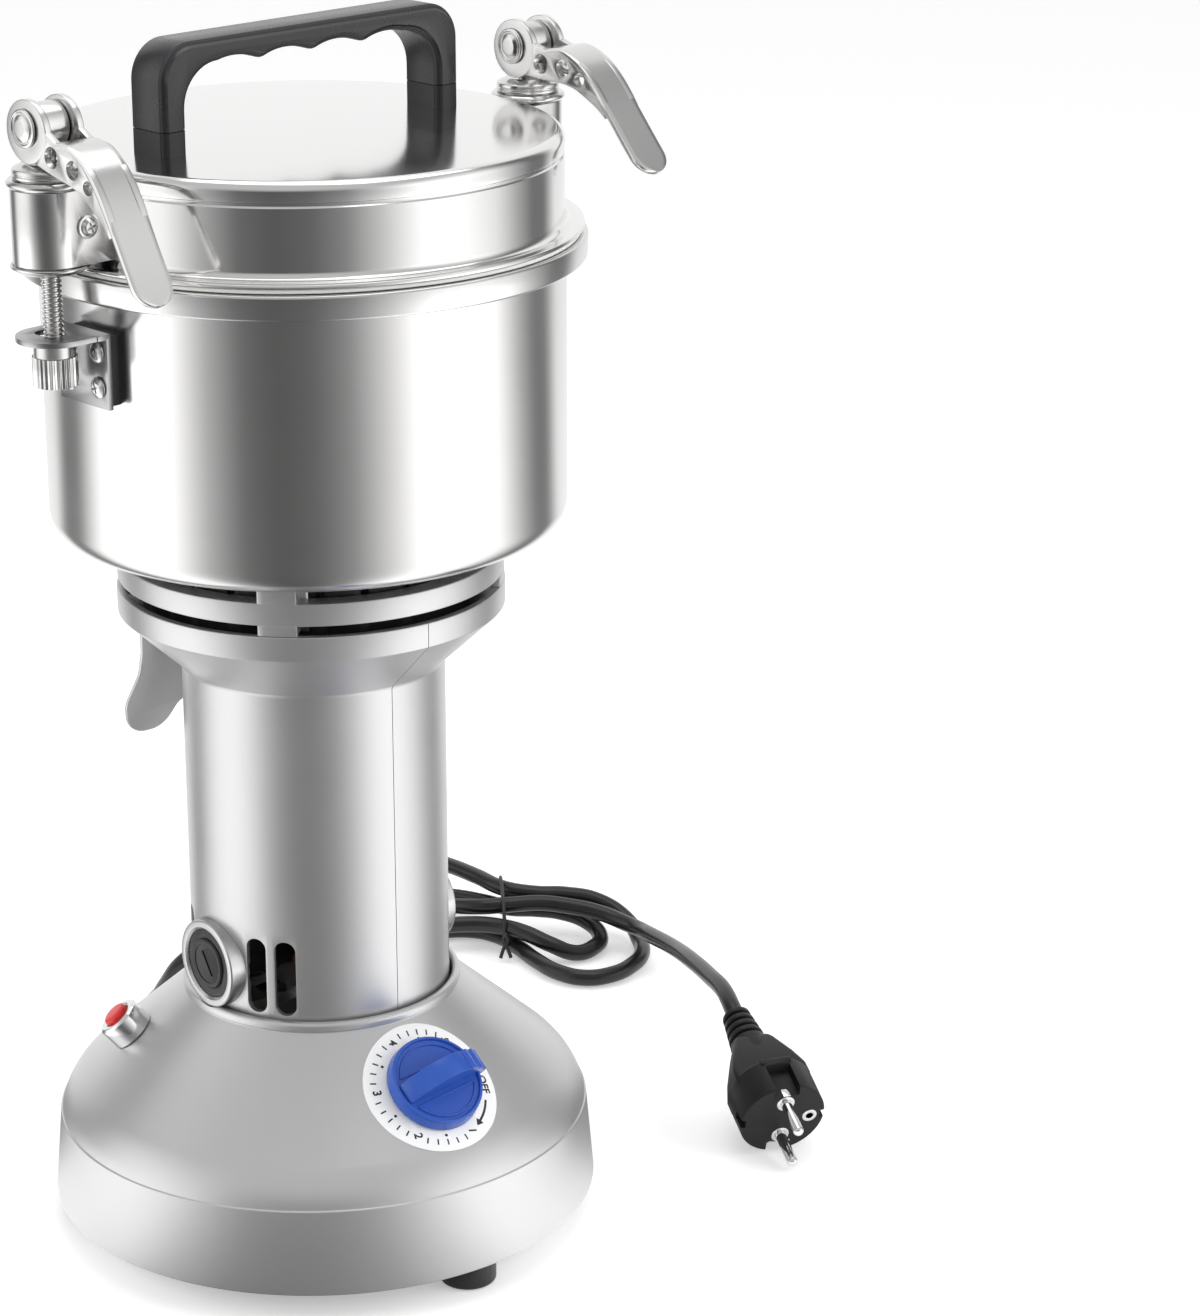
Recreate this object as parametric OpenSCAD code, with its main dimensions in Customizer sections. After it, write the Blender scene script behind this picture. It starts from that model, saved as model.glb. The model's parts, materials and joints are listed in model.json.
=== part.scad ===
// Electric grain mill: a swing-lid grinding bowl on an upright motor column and a round base.
// Millimetres, +Z up. Origin: centre of the base, on the surface that the feet stand on.
// The two lid clamps lie on the X axis and their levers point to -Y, which is the front.

/* [Base] */
// Diameter of the base skirt at its lower edge
base_d = 230; // [215:1:245]
// Height of the rubber feet below the skirt
foot_h = 12; // [9:0.5:16]
// Diameter of each rubber foot
foot_d = 23.4; // [18:0.2:26]
// Height of the skirt below the shoulder
skirt_h = 34.4; // [30:0.2:40]
// Inward lean of the skirt, degrees
skirt_draft = 5.6; // [3:0.1:7]
// Radius of the shoulder between skirt and cone
shoulder_r = 23.4; // [16:0.2:26]
// Slope of the cone, degrees from level
cone_slope = 41.2; // [38:0.1:43]
// Wall of the base casting
base_wall = 2.5; // [2:0.1:3.5]
// Thickness of the steel bottom plate
plate_t = 1.5; // [1:0.1:2.5]
// Turn of the base and column about the upright axis against the lid clamps, degrees
base_turn = -5; // [-10:0.5:10]

/* [Timer and overload reset] */
// Place of the dial round the base, degrees in the base frame
dial_dir = 267.5; // [262:0.5:275]
// Distance of the dial centre inside the lower edge of the skirt
dial_in = 33.5; // [31:0.1:35]
// Diameter of the dial plate
dial_d = 58.4; // [54:0.2:60]
// Diameter of the timer knob
knob_d = 41; // [36:0.5:44]
// Height of the knob skirt
knob_skirt_h = 6; // [5:0.5:8]
// Height of the finger bar above the dial
knob_bar_h = 17; // [14:0.5:20]
// Direction of the finger bar at rest in the dial plane, degrees
knob_rest = 97; // [80:1:100]
// Diameter of the timer shaft
timer_shaft_d = 6; // [5:0.5:7]
// Place of the overload reset round the base, degrees in the base frame
reset_dir = 150; // [140:1:160]
// Distance of the overload reset inside the lower edge of the skirt
reset_in = 35; // [31:0.5:39]
// Diameter of the chrome reset bezel
reset_bezel_d = 19; // [17:0.5:22]
// Height of the chrome reset bezel
reset_bezel_h = 10.5; // [8:0.5:12]
// Diameter of the reset button
reset_button_d = 11.5; // [9:0.5:12.5]
// Travel of the reset button
reset_travel = 1.5; // [1:0.1:2]

/* [Column] */
// Outer diameter of the motor column
column_d = 108; // [104:0.5:112]
// Wall of the column halves
column_wall = 2.5; // [2:0.1:3]
// Height of the straight part of the column above its seat
column_h = 158.9; // [150:0.1:170]
// Height of the flared collar
funnel_h = 22.1; // [20:0.1:26]
// Diameter of the band on top of the collar
band_d = 158; // [152:0.5:164]
// Height of the band on top of the collar
band_h = 10.7; // [9:0.1:13]
// Width of a vent slot
vent_w = 9; // [7:0.5:10]
// Height of a vent slot
vent_h = 32.6; // [26:0.2:36]
// Direction of the inner vent slots from a brush cap, degrees
vent_dir_1 = 25.5; // [25:0.5:28]
// Direction of the outer vent slots from a brush cap, degrees
vent_dir_2 = 39; // [38:0.5:60]
// Height of the brush axis above the column seat
brush_up = 35.6; // [33:0.1:38]
// Diameter of the brush bezel
bezel_d = 37; // [34:0.5:40]

/* [Ventilation ring] */
// Gap between the collar and the ring
ring_gap = 4.3; // [3:0.1:6]
// Height of the ring
ring_h = 9.2; // [8:0.1:11]
// Gap between the ring and the bowl
bowl_gap = 10.8; // [8:0.1:13]
// Width of a spacer block
block_w = 9; // [9:0.5:12]

/* [Bowl] */
// Outer diameter of the bowl
bowl_d = 209; // [205:0.5:213]
// Height of the bowl with its rim
bowl_h = 120; // [110:0.5:130]
// Wall of the bowl
bowl_wall = 1.5; // [1.2:0.1:2]
// Radius of the bowl's lower corner
bowl_corner = 10; // [6:0.5:16]
// Outer diameter of the rim
rim_d = 226.4; // [222:0.2:229]
// Height of the rim
rim_h = 9.8; // [8:0.1:12]
// Reach of the blades from the shaft axis
blade_reach = 90; // [80:0.5:95]

/* [Lid] */
// Height of the lid above the bowl rim
lid_h = 40.5; // [36:0.5:46]
// Outer diameter of the lid wall
lid_d = 208; // [204:0.5:212]
// Wall of the lid
lid_wall = 1.2; // [1:0.1:2]
// Step in from the rim to the lid flange
flange_step = 1.2; // [0.8:0.1:3]
// Thickness of the silicone gasket
gasket_t = 1.4; // [1:0.1:2]
// Length of the handle
handle_l = 151.4; // [140:0.2:160]
// Height of the handle above the lid
handle_h = 42.5; // [40:0.5:50]
// Width of the handle
handle_w = 21.4; // [18:0.2:24]
// Thickness of the handle legs
handle_leg = 12; // [11:0.2:14]
// Radius of the handle's outer corners
handle_corner = 15; // [12:0.5:18]
// Spacing of the finger grips
finger_pitch = 26; // [22:0.5:27]

/* [Clamps] */
// Distance of a clamp axis outside the bowl rim
clamp_out = 10; // [9.6:0.1:13]
// Height of a lever pivot above the lid top
pivot_up = 18; // [17:0.1:22]
// Diameter of the clamp rod
rod_d = 8; // [7:0.1:8.4]
// Outer diameter of the clamp sleeve
sleeve_d = 28; // [26:0.5:30]
// Radius of the lever's cam
cam_r = 12.07; // [11.5:0.01:12.5]
// Offset of the cam centre from the pivot
cam_e = 1.5; // [1:0.1:2]
// Width of a lever
lever_w = 18; // [16:0.5:20]
// Thickness of a lever cheek
cheek_t = 3; // [2.5:0.1:3.5]
// Diameter of a pivot pin
pin_d = 6; // [5:0.1:6.5]
// Diameter of the knurled part of a clamp nut
nut_d = 17.5; // [16:0.1:18]
// Number of ridges round a clamp nut
nut_ridges = 28; // [20:1:32]
// Raise of the right lever at rest, degrees
right_lever_raise = 12; // [0:1:20]

/* [Cord] */
// Diameter of the mains cord
cord_d = 8; // [7:0.1:8.4]
// Diameter of the plug
plug_d = 39; // [37:0.5:40]
// Downward tilt of the plug, degrees
plug_tilt = 20; // [17:0.5:21]

/* [Clearances] */
// Clearance all round between parts that are screwed or seated
seat_gap = 0.1; // [0.05:0.01:0.2]
// Radial clearance of a shaft or pin that turns in a bore
run_fit = 0.04; // [0.02:0.01:0.06]
// Gap between faces that slide or swing past each other
swing_gap = 0.3; // [0.25:0.05:0.4]
// Visible gap along the seam of the column halves
seam_gap = 0.3; // [0.2:0.05:0.5]

/* [Hidden] */
$fn = 96;
eps = 0.01;
sides = [-1, 1];

// Base: shoulder circle, cone line and the neck that the column stands in.
shoulder_z = foot_h + skirt_h;
skirt_top_r = base_d / 2 - skirt_h * tan(skirt_draft);
shoulder_c = [skirt_top_r - shoulder_r * cos(skirt_draft),
    shoulder_z - shoulder_r * sin(skirt_draft)];
cone_normal = 90 - cone_slope;
neck_gap = 1.2;
neck_wall = 2.5;
column_r = column_d / 2;
column_in = column_r - column_wall;
neck_in = column_r + neck_gap;
neck_out = neck_in + neck_wall;
bead_r = 2;
shelf_t = 4;
column_sink = 14;
shelf_in = column_in - 8;

// Height on the cone at radius r, for a surface that lies off deep in the wall.
function cone_z(r, off = 0) =
    let (q = shoulder_c + (shoulder_r - off) * [cos(cone_normal), sin(cone_normal)])
    q.y + (q.x - r) * tan(cone_slope);
function arc(c, r, a0, a1, n) = [for (i = [0:n]) let (a = a0 + (a1 - a0) * i / n)
    c + r * [cos(a), sin(a)]];
// Points of the base's outer line, moved inwards by off.
function base_line(off) = concat(
    [[base_d / 2 - off / cos(skirt_draft), foot_h]],
    arc(shoulder_c, shoulder_r - off, skirt_draft, cone_normal, 8),
    [[neck_in, cone_z(neck_in, off)]]);
function flip(list) = [for (i = [len(list) - 1:-1:0]) list[i]];

// Heights, from the base up.
column_z = cone_z(neck_out) - column_sink;
plate_z = foot_h + 2;
funnel_z = column_z + column_h;
band_z = funnel_z + funnel_h;
band_top = band_z + band_h;
ring_z = band_top + ring_gap;
ring_top = ring_z + ring_h;
bowl_z = ring_top + bowl_gap;
rim_z = bowl_z + bowl_h;
lid_z = rim_z + swing_gap;
lid_top = rim_z + lid_h;
pivot_z = lid_top + pivot_up;
brush_z = column_z + brush_up;

// Column head.
band_r = band_d / 2;
head_wall = 3;
funnel_in = band_r - head_wall;
post_r = band_r - 5.5;
post_d = 9;
post_dirs = [45, 135, 225, 315];
bowl_screw_d = 5;

// Screws: M4 pan head.
m4 = 4;
m4_head = 8;
m4_head_h = 2.6;
foot_r = 99.5;
foot_dirs = [30, 150, 270];
pillar_r = 96;
pillar_d = 10;
pillar_dirs = [50, 170, 290];
tie_dirs = [45, 135, 225, 315];
tie_r = (shelf_in + column_in) / 2;

// Motor, stacked on the column's floor.
bracket_t = 6;
col_floor_t = 4;
bracket_z = column_z + col_floor_t;
low_bearing = [22, 8, 7];
top_bearing = [32, 12, 10];
low_bearing_z = bracket_z + 3;
commutator_d = 30;
commutator_h = 20;
stack_h = 50;
stator_z = brush_z + 22.4;
stator_in = 47.4;
armature_d = 45;
fan_z = funnel_z - 6;
fan_h = 20;
fan_r = column_in - 4;
hub_z = ring_z - 16;
hub_r = 21;
top_bearing_z = hub_z + 2;
shaft_d = top_bearing[1];
shaft_low_d = low_bearing[1];
thread_d = 10;
floor_z = bowl_z + bowl_wall;
seal_h = 8;
blade_z = floor_z + seal_h;
blade_t = 2.5;
spacer_h = 12;
hex_h = 8;

// Timer and reset, in the dial's own plane.
dial_t = 0.5;
dial_at_r = base_d / 2 - dial_in;
reset_at_r = base_d / 2 - reset_in;
bush_d = 9;
timer_box = [36, 42, 21];
knob_lift = dial_t + 0.5;
knob_r = knob_d / 2;
knob_bar_w = 9;

// Bowl fittings.
bowl_r = bowl_d / 2;
rim_r = rim_d / 2;
ear_t = 2;
ear_face = bowl_r + 3.5;
ear_z = rim_z - 23;
ear_w = 30;
ear_h = 29.5;
ear_end = 14.5;
rivet_d = 4.8;
rivet_y = 9;
rivet_z = [ear_z - 5.5, ear_z - 19.5];

// Lid.
lid_r = lid_d / 2;
flange_r = rim_r - flange_step;
flange_t = 2.1;
lid_edge = 4;
handle_x = handle_l / 2;
cove = 2.3;

// Clamps.
clamp_x = rim_r + clamp_out;
sleeve_r = sleeve_d / 2;
sleeve_t = 1.6;
core_r = sleeve_r - sleeve_t - seat_gap;
clamp_plate_r = sleeve_r + 1.1;
clamp_plate_z = rim_z + 3.8;
clamp_plate_t = 2.7;
sleeve_z = clamp_plate_z + clamp_plate_t + 0.4;
cam_ang = 35;
cam_low = cam_r + cam_e * cos(cam_ang);
cap_top = pivot_z - cam_low - swing_gap;
cap_h = 5.9;
cap_r = sleeve_r - 1;
cap_crown = 2.2;
collar_z = cap_top - cap_h - 3.1;
collar_t = 3;
sleeve_h = collar_z - 0.3 - sleeve_z;
eye_w = lever_w - 2 * cheek_t - 2 * swing_gap;
eye_r = 9;
pin_head_d = 14.7;
nut_z = ear_z - swing_gap - 0.1;
nut_collar_h = 5.6;
nut_h = 17.2;
rod_end = nut_z - nut_h + 1;

// Turns what belongs to the base and column.
module base_frame() rotate([0, 0, base_turn]) children();

// Places children on the cone: +Z out of the cone, +X down the slope.
module on_cone(dir, r) base_frame()
    translate([r * cos(dir), r * sin(dir), cone_z(r)]) rotate([0, cone_slope, dir]) children();

// Cylinder with a round bore through it.
module tube(d, bore, h) difference() {
    cylinder(d = d, h = h);
    translate([0, 0, -1]) cylinder(d = bore, h = h + 2);
}

// Screw that points down, its head above z = 0.
module pan_screw(d, head, head_h, len) {
    cylinder(d1 = head, d2 = head * 0.7, h = head_h);
    translate([0, 0, -len]) cylinder(d = d, h = len + eps);
}

// Polyhedron that carries a round section of diameter d along the points.
function unit(v) = v / norm(v);
function tangents(p) = [for (i = [0:len(p) - 1])
    unit(p[min(i + 1, len(p) - 1)] - p[max(i - 1, 0)])];
module sweep(p, d, sides_n) {
    t = tangents(p);
    n = len(p);
    pts = [for (i = [0:n - 1]) let (u = unit(cross(t[i], [0, 0, 1])), v = cross(u, t[i]))
        for (k = [0:sides_n - 1]) p[i] + d / 2 * (cos(360 * k / sides_n) * u
            + sin(360 * k / sides_n) * v)];
    walls = [for (i = [0:n - 2]) for (k = [0:sides_n - 1]) let (m = (k + 1) % sides_n)
        [i * sides_n + k, i * sides_n + m, (i + 1) * sides_n + m, (i + 1) * sides_n + k]];
    ends = [[for (k = [sides_n - 1:-1:0]) k], [for (k = [0:sides_n - 1]) (n - 1) * sides_n + k]];
    polyhedron(points = pts, faces = concat([for (w = walls) flip(w)], [for (e = ends) flip(e)]),
        convexity = 10);
}

// ---------- Base ----------
module base_shell() color([0.70, 0.71, 0.73]) difference() {
    union() {
        rotate_extrude() {
            polygon(concat(base_line(0), flip(base_line(base_wall))));
            translate([neck_in, column_z - shelf_t])
                square([neck_wall, cone_z(neck_in) - column_z + shelf_t]);
            translate([shelf_in, column_z - shelf_t]) square([neck_out - shelf_in, shelf_t]);
            translate([(neck_in + neck_out) / 2, cone_z(neck_in)]) circle(r = bead_r);
        }
        base_frame() intersection() {
            for (a = pillar_dirs) rotate(a) translate([pillar_r, 0, plate_z + plate_t])
                cylinder(d = pillar_d, h = 100);
            rotate_extrude() polygon(concat(base_line(1), [[0, cone_z(neck_in)], [0, foot_h]]));
        }
    }
    base_frame() {
        for (a = pillar_dirs) rotate(a) translate([pillar_r, 0, plate_z])
            cylinder(d = m4 + 2 * seat_gap, h = 14);
        for (a = tie_dirs) rotate(a) translate([tie_r, 0, column_z - 10])
            cylinder(d = m4 + 2 * seat_gap, h = 20);
    }
    on_cone(dial_dir, dial_at_r) translate([0, 0, -10])
        cylinder(d = bush_d + 2 * seat_gap, h = 20);
    on_cone(reset_dir, reset_at_r) translate([0, 0, -10])
        cylinder(d = reset_bezel_d - 4 + 2 * seat_gap, h = 20);
    cord_way() translate([0, 0, -relief_in]) cylinder(d = gland_d + 2 * seat_gap, h = 40);
    brush_axes() cylinder(d = bezel_d + 2 * seat_gap, h = base_d / 2);
}

module base_plate() color([0.55, 0.56, 0.57]) base_frame() difference() {
    translate([0, 0, plate_z]) cylinder(r = plate_r, h = plate_t);
    for (a = foot_dirs) rotate(a) translate([foot_r, 0, 0]) cylinder(d = m4 + 2 * seat_gap, h = 30);
    for (a = pillar_dirs) rotate(a) translate([pillar_r, 0, 0])
        cylinder(d = m4 + 2 * seat_gap, h = 30);
    for (ring = [[30, 8], [48, 14]], i = [0:ring[1] - 1])
        rotate(360 * i / ring[1]) translate([ring[0], 0, 0]) cylinder(d = vent_hole_d, h = 30);
}
plate_r = base_d / 2 - base_wall / cos(skirt_draft) - plate_z * tan(skirt_draft) - 0.2;
vent_hole_d = 6;

module rubber_feet() color([0.08, 0.08, 0.08]) base_frame()
    for (a = foot_dirs) rotate(a) translate([foot_r, 0, 0]) rotate_extrude() polygon([
        [m4 / 2 + seat_gap, foot_pocket], [foot_head_r, foot_pocket], [foot_head_r, 0],
        [foot_d / 2 - 1, 0], [foot_d / 2, 1], [foot_d / 2, foot_h - 1],
        [foot_d / 2 - 1, plate_z], [m4 / 2 + seat_gap, plate_z]]);
foot_pocket = 6;
foot_head_r = m4_head / 2 + 1;

module base_screws() color([0.6, 0.6, 0.62]) base_frame() {
    for (a = foot_dirs) rotate(a) translate([foot_r, 0, 0]) {
        translate([0, 0, foot_pocket]) mirror([0, 0, 1])
            pan_screw(m4, m4_head, m4_head_h, plate_z + plate_t + 5 - foot_pocket);
        translate([0, 0, plate_z + plate_t]) difference() {
            cylinder(d = 8, h = 3.2, $fn = 6);
            translate([0, 0, -1]) cylinder(d = m4 + 2 * seat_gap, h = 6);
        }
    }
    for (a = pillar_dirs) rotate(a) translate([pillar_r, 0, plate_z]) mirror([0, 0, 1])
        pan_screw(m4, m4_head, m4_head_h - 1, 12);
    for (a = tie_dirs) rotate(a) translate([tie_r, 0, column_z - shelf_t]) mirror([0, 0, 1])
        pan_screw(m4, m4_head, m4_head_h, shelf_t + col_floor_t + bracket_t - 1);
}

module dial_plate() color([0.93, 0.93, 0.92]) intersection() {
    rotate_extrude() polygon([[neck_out, cone_z(neck_out)], [shoulder_c.x, cone_z(shoulder_c.x)],
        [base_d / 2, cone_z(base_d / 2)], [base_d / 2, cone_z(base_d / 2, -dial_t)],
        [neck_out, cone_z(neck_out, -dial_t)]]);
    on_cone(dial_dir, dial_at_r) translate([0, 0, -dial_d / 4]) tube(dial_d, bush_d + 1, dial_d / 2);
}

// Clockwork timer below the cone, its threaded bush up through the casting.
module timer_body() color([0.42, 0.42, 0.44]) on_cone(dial_dir, dial_at_r) difference() {
    union() {
        translate([-timer_box.x / 2, -timer_box.y / 2, -base_wall - timer_drop - timer_box.z])
            cube(timer_box);
        translate([0, 0, -base_wall - timer_drop - eps])
            cylinder(d = bush_d + 6, h = timer_drop - cone_sag);
        translate([0, 0, -base_wall - timer_drop])
            cylinder(d = bush_d, h = base_wall + timer_drop + bush_up);
        translate([0, 0, dial_t + eps]) cylinder(d = bush_d + 5, h = 2, $fn = 6);
    }
    translate([0, 0, -base_wall - timer_box.z + 2])
        cylinder(d = timer_shaft_d + 2 * run_fit, h = timer_box.z + 20);
}
// The box hangs below the curved casting, and a flat spacer stays clear of the curve.
timer_drop = 3.6;
cone_sag = 0.3;
bush_up = 4;

module timer_knob() color([0.17, 0.33, 0.74]) on_cone(dial_dir, dial_at_r)
    translate([0, 0, knob_lift]) difference() {
        union() {
            cylinder(r1 = knob_r, r2 = knob_r - 0.8, h = knob_skirt_h);
            intersection() {
                cylinder(r = knob_r + 0.6, h = knob_bar_h);
                rotate(knob_rest) rotate([90, 0, 0]) translate([0, 0, -knob_bar_w / 2])
                    linear_extrude(knob_bar_w) intersection() {
                        translate([-knob_r, 0]) square([2 * knob_r + 1, knob_bar_h]);
                        translate([2, knob_bar_h - bar_arch_r]) circle(r = bar_arch_r);
                    }
            }
        }
        translate([0, 0, knob_skirt_h - 1]) difference() {
            cylinder(r = knob_r - 2.2, h = 2);
            rotate(knob_rest) translate([-knob_r, -knob_bar_w / 2, -1])
                cube([2 * knob_r, knob_bar_w, 4]);
        }
        translate([0, 0, -1]) cylinder(d = bush_d + 7, h = 1 + bush_up);
        translate([0, 0, -1]) cylinder(d = timer_shaft_d + 2 * seat_gap, h = 1 + knob_bar_h - 3);
    }
bar_arch_r = 22;

module timer_shaft() color([0.75, 0.75, 0.76]) on_cone(dial_dir, dial_at_r)
    translate([0, 0, -base_wall - timer_box.z + 3])
        cylinder(d = timer_shaft_d, h = base_wall + timer_box.z - 3 + knob_lift + knob_bar_h - 4);

module reset_bezel() color([0.82, 0.82, 0.84]) on_cone(reset_dir, reset_at_r) difference() {
    union() {
        translate([0, 0, eps]) cylinder(d = reset_bezel_d, h = reset_bezel_h - 1 - eps);
        translate([0, 0, reset_bezel_h - 1])
            cylinder(d1 = reset_bezel_d, d2 = reset_bezel_d - 2, h = 1);
        translate([0, 0, -base_wall - 1]) cylinder(d = reset_bezel_d - 4, h = base_wall + 1.5);
    }
    translate([0, 0, -base_wall - 2])
        cylinder(d = reset_button_d + 2 * seat_gap, h = reset_bezel_h + base_wall + 3);
}

module breaker_body() color([0.12, 0.12, 0.13]) on_cone(reset_dir, reset_at_r)
    translate([0, 0, -base_wall - 1 - breaker_h]) {
        cylinder(d = reset_bezel_d - 3, h = breaker_h);
        for (s = sides) translate([-3, s * 4 - 0.4, -6]) cube([6, 0.8, 6]);
    }
breaker_h = 20;

module reset_button() color([0.85, 0.10, 0.10]) on_cone(reset_dir, reset_at_r)
    translate([0, 0, reset_bezel_h - reset_grip]) {
        cylinder(d = reset_button_d - 0.4, h = reset_grip + button_up - 0.8);
        translate([0, 0, reset_grip + button_up - 0.8])
            cylinder(d1 = reset_button_d - 0.4, d2 = reset_button_d - 2, h = 0.8);
    }
reset_grip = 8;
button_up = 2;

// ---------- Column ----------
// Slot through the column wall with its edge bevelled outside.
module vent_slot(dir) rotate(dir) rotate([90, 0, 90]) {
    r = vent_w / 2;
    top = vent_h / 2 - r;
    translate([0, 0, column_in - 4]) {
        for (s = sides) translate([0, s * top, 0]) cylinder(r = r, h = 20);
        translate([-r, -top, 0]) cube([vent_w, 2 * top, 20]);
    }
    translate([0, 0, column_r - vent_bevel]) {
        for (s = sides) translate([0, s * top, 0]) cylinder(r1 = r, r2 = r + 3, h = 3);
        translate([0, top, 0]) rotate([90, 0, 0]) linear_extrude(2 * top)
            polygon([[-r, 0], [r, 0], [r + 3, 3], [-r - 3, 3]]);
    }
}
vent_bevel = 1;

module column_solid() {
    rotate_extrude() polygon([
        [column_in, column_z], [column_r, column_z], [column_r, funnel_z - 1],
        [column_r + 0.6, funnel_z], [band_r - 0.8, band_z], [band_r, band_z + 0.8],
        [band_r, band_top], [funnel_in, band_top], [funnel_in, band_z + 0.6],
        [column_in, funnel_z + 0.6]]);
    rotate_extrude() {
        translate([shelf_in, column_z]) square([column_in - shelf_in + 1, col_floor_t]);
        translate([stator_in, stator_z - 4]) square([column_in - stator_in + 1, 3.8]);
    }
}

// One half of the column, from the seam to the seam, about the direction dir.
module column_half(dir) base_frame() difference() {
    union() {
        column_solid();
        for (a = post_dirs) rotate(a - base_turn) translate([post_r, 0, band_z - 3])
            cylinder(d = post_d, h = band_h + 3);
    }
    translate([-dir * 200 + dir * seam_gap / 2, 0, 200]) cube([400, 400, 800], center = true);
    for (a = post_dirs) rotate(a - base_turn) translate([post_r, 0, band_z - 1])
        cylinder(d = bowl_screw_d + 2 * seat_gap, h = band_h + 3);
    for (a = tie_dirs) rotate(a) translate([tie_r, 0, column_z - 1])
        cylinder(d = m4 + 2 * seat_gap, h = 20);
    translate([0, 0, brush_z]) {
        rotate([0, dir * 90, 0]) cylinder(d = bezel_d + 2 * seat_gap, h = 100);
        for (v = [vent_dir_1, vent_dir_2], s = sides) vent_slot((dir > 0 ? 0 : 180) + s * v);
    }
}
module column_left() color([0.72, 0.73, 0.75]) column_half(-1);
module column_right() color([0.72, 0.73, 0.75]) column_half(1);

// Places children on a brush axis: +Z outwards from the shaft.
module brush_axes() base_frame() for (s = sides) translate([0, 0, brush_z])
    rotate([0, s * 90, 0]) children();
bezel_out = column_r + 4;
insert_d = bezel_d - 8;
brush_cap_d = 21;
brush = [6.4, 12.4];
brush_in = commutator_d / 2 + 0.1;
brush_len = 18;
holder_in = commutator_d / 2 + 3;

module brush_bezels() color([0.80, 0.80, 0.82]) brush_axes() difference() {
    union() {
        translate([0, 0, bezel_out - bezel_deep]) cylinder(d = bezel_d, h = bezel_deep - 0.8);
        translate([0, 0, bezel_out - 0.8]) cylinder(d1 = bezel_d, d2 = bezel_d - 1.6, h = 0.8);
    }
    translate([0, 0, bezel_out - bezel_deep - 1]) cylinder(d = insert_d, h = bezel_deep + 2);
    translate([0, 0, bezel_out - 0.8]) cylinder(d1 = insert_d, d2 = insert_d + 2, h = 1);
}
bezel_deep = 9;

module brush_holders() color([0.10, 0.10, 0.11]) brush_axes() difference() {
    union() {
        translate([0, 0, bezel_out - bezel_deep]) cylinder(d = insert_d, h = bezel_deep - 1.2);
        translate([-brush.y / 2 - 2, -brush.x / 2 - 2, holder_in])
            cube([brush.y + 4, brush.x + 4, bezel_out - bezel_deep - holder_in + 1]);
    }
    translate([-brush.y / 2 - seat_gap, -brush.x / 2 - seat_gap, 0])
        cube([brush.y + 2 * seat_gap, brush.x + 2 * seat_gap, 60]);
    translate([0, 0, bezel_out - 5]) cylinder(d = brush_cap_d + 2 * seat_gap, h = 10);
}

module brush_caps() color([0.13, 0.13, 0.14]) brush_axes() difference() {
    union() {
        translate([0, 0, bezel_out - 5]) cylinder(d = brush_cap_d, h = 4.2);
        translate([0, 0, bezel_out - 0.8])
            cylinder(d1 = brush_cap_d, d2 = brush_cap_d - 1.2, h = 0.6);
    }
    translate([0, 0, bezel_out - 1.6]) rotate(cap_slot_dir) translate([-5.75, -0.7, 0])
        cube([11.5, 1.4, 3]);
    translate([0, 0, bezel_out - 0.6]) cylinder(d = brush_cap_d - 4, h = 2);
}
cap_slot_dir = 35;

module carbon_brushes() color([0.16, 0.15, 0.15]) brush_axes()
    translate([-brush.y / 2, -brush.x / 2, brush_in]) cube([brush.y, brush.x, brush_len]);

// Helical springs that press the brushes on the commutator.
module brush_springs() color([0.72, 0.60, 0.25]) brush_axes()
    translate([0, 0, brush_in + brush_len + spring_wire / 2]) sweep(spring_line, spring_wire, 6);
spring_wire = 0.7;
spring_turns = 5;
spring_len = bezel_out - 5 - brush_in - brush_len - spring_wire;
spring_line = [for (i = [0:spring_turns * 10]) let (a = 36 * i)
    [2.4 * cos(a), 2.4 * sin(a), spring_len * i / (spring_turns * 10)]];

// ---------- Motor ----------
// Spider with a bearing seat, arms to a rim that stands on the column's floor.
module lower_bracket() color([0.60, 0.61, 0.63]) base_frame() translate([0, 0, bracket_z])
    difference() {
        union() {
            tube(2 * (column_in - 0.3), 2 * shelf_in, bracket_t);
            for (a = [0:90:270]) rotate(a) translate([low_bearing[0] / 2, -4, 0])
                cube([shelf_in - low_bearing[0] / 2 + 2, 8, bracket_t]);
            cylinder(d = low_bearing[0] + 8, h = 3 + low_bearing[2]);
        }
        translate([0, 0, -1]) cylinder(d = low_bearing[0] - 4, h = 20);
        translate([0, 0, 3]) cylinder(d = low_bearing[0], h = 20);
        for (a = tie_dirs) rotate(a) translate([tie_r, 0, -1])
            cylinder(d = m4 + 2 * seat_gap, h = 20);
    }

// Ball bearing drawn closed, as with its shields on.
module bearing(size) difference() {
    cylinder(d = size[0], h = size[2]);
    translate([0, 0, -1]) cylinder(d = size[1] + 2 * run_fit, h = size[2] + 2);
    for (z = [-1, size[2] - 0.3]) translate([0, 0, z]) difference() {
        cylinder(d = size[0] - 3.5, h = 1.3);
        translate([0, 0, -1]) cylinder(d = size[1] + 3.5, h = 4);
    }
}
module bearings() color([0.65, 0.65, 0.68]) {
    translate([0, 0, low_bearing_z]) bearing(low_bearing);
    translate([0, 0, top_bearing_z]) bearing(top_bearing);
}

module stator_core() color([0.35, 0.35, 0.38]) base_frame() translate([0, 0, stator_z])
    difference() {
        cylinder(r = column_in - 0.3, h = stack_h);
        translate([0, 0, -1]) cylinder(d = armature_d + 1.2, h = stack_h + 2);
        for (s = sides) {
            translate([-winding_w / 2, s * window_y - window_h / 2, -1])
                cube([winding_w, window_h, stack_h + 2]);
            translate([s * (column_in + 6), 0, -1]) cylinder(r = 10, h = stack_h + 2);
            translate([0, s * (column_in + 12), -1]) cylinder(r = 14, h = stack_h + 2);
        }
    }
winding_w = 62;
window_y = 27.5;
window_h = 8;

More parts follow.
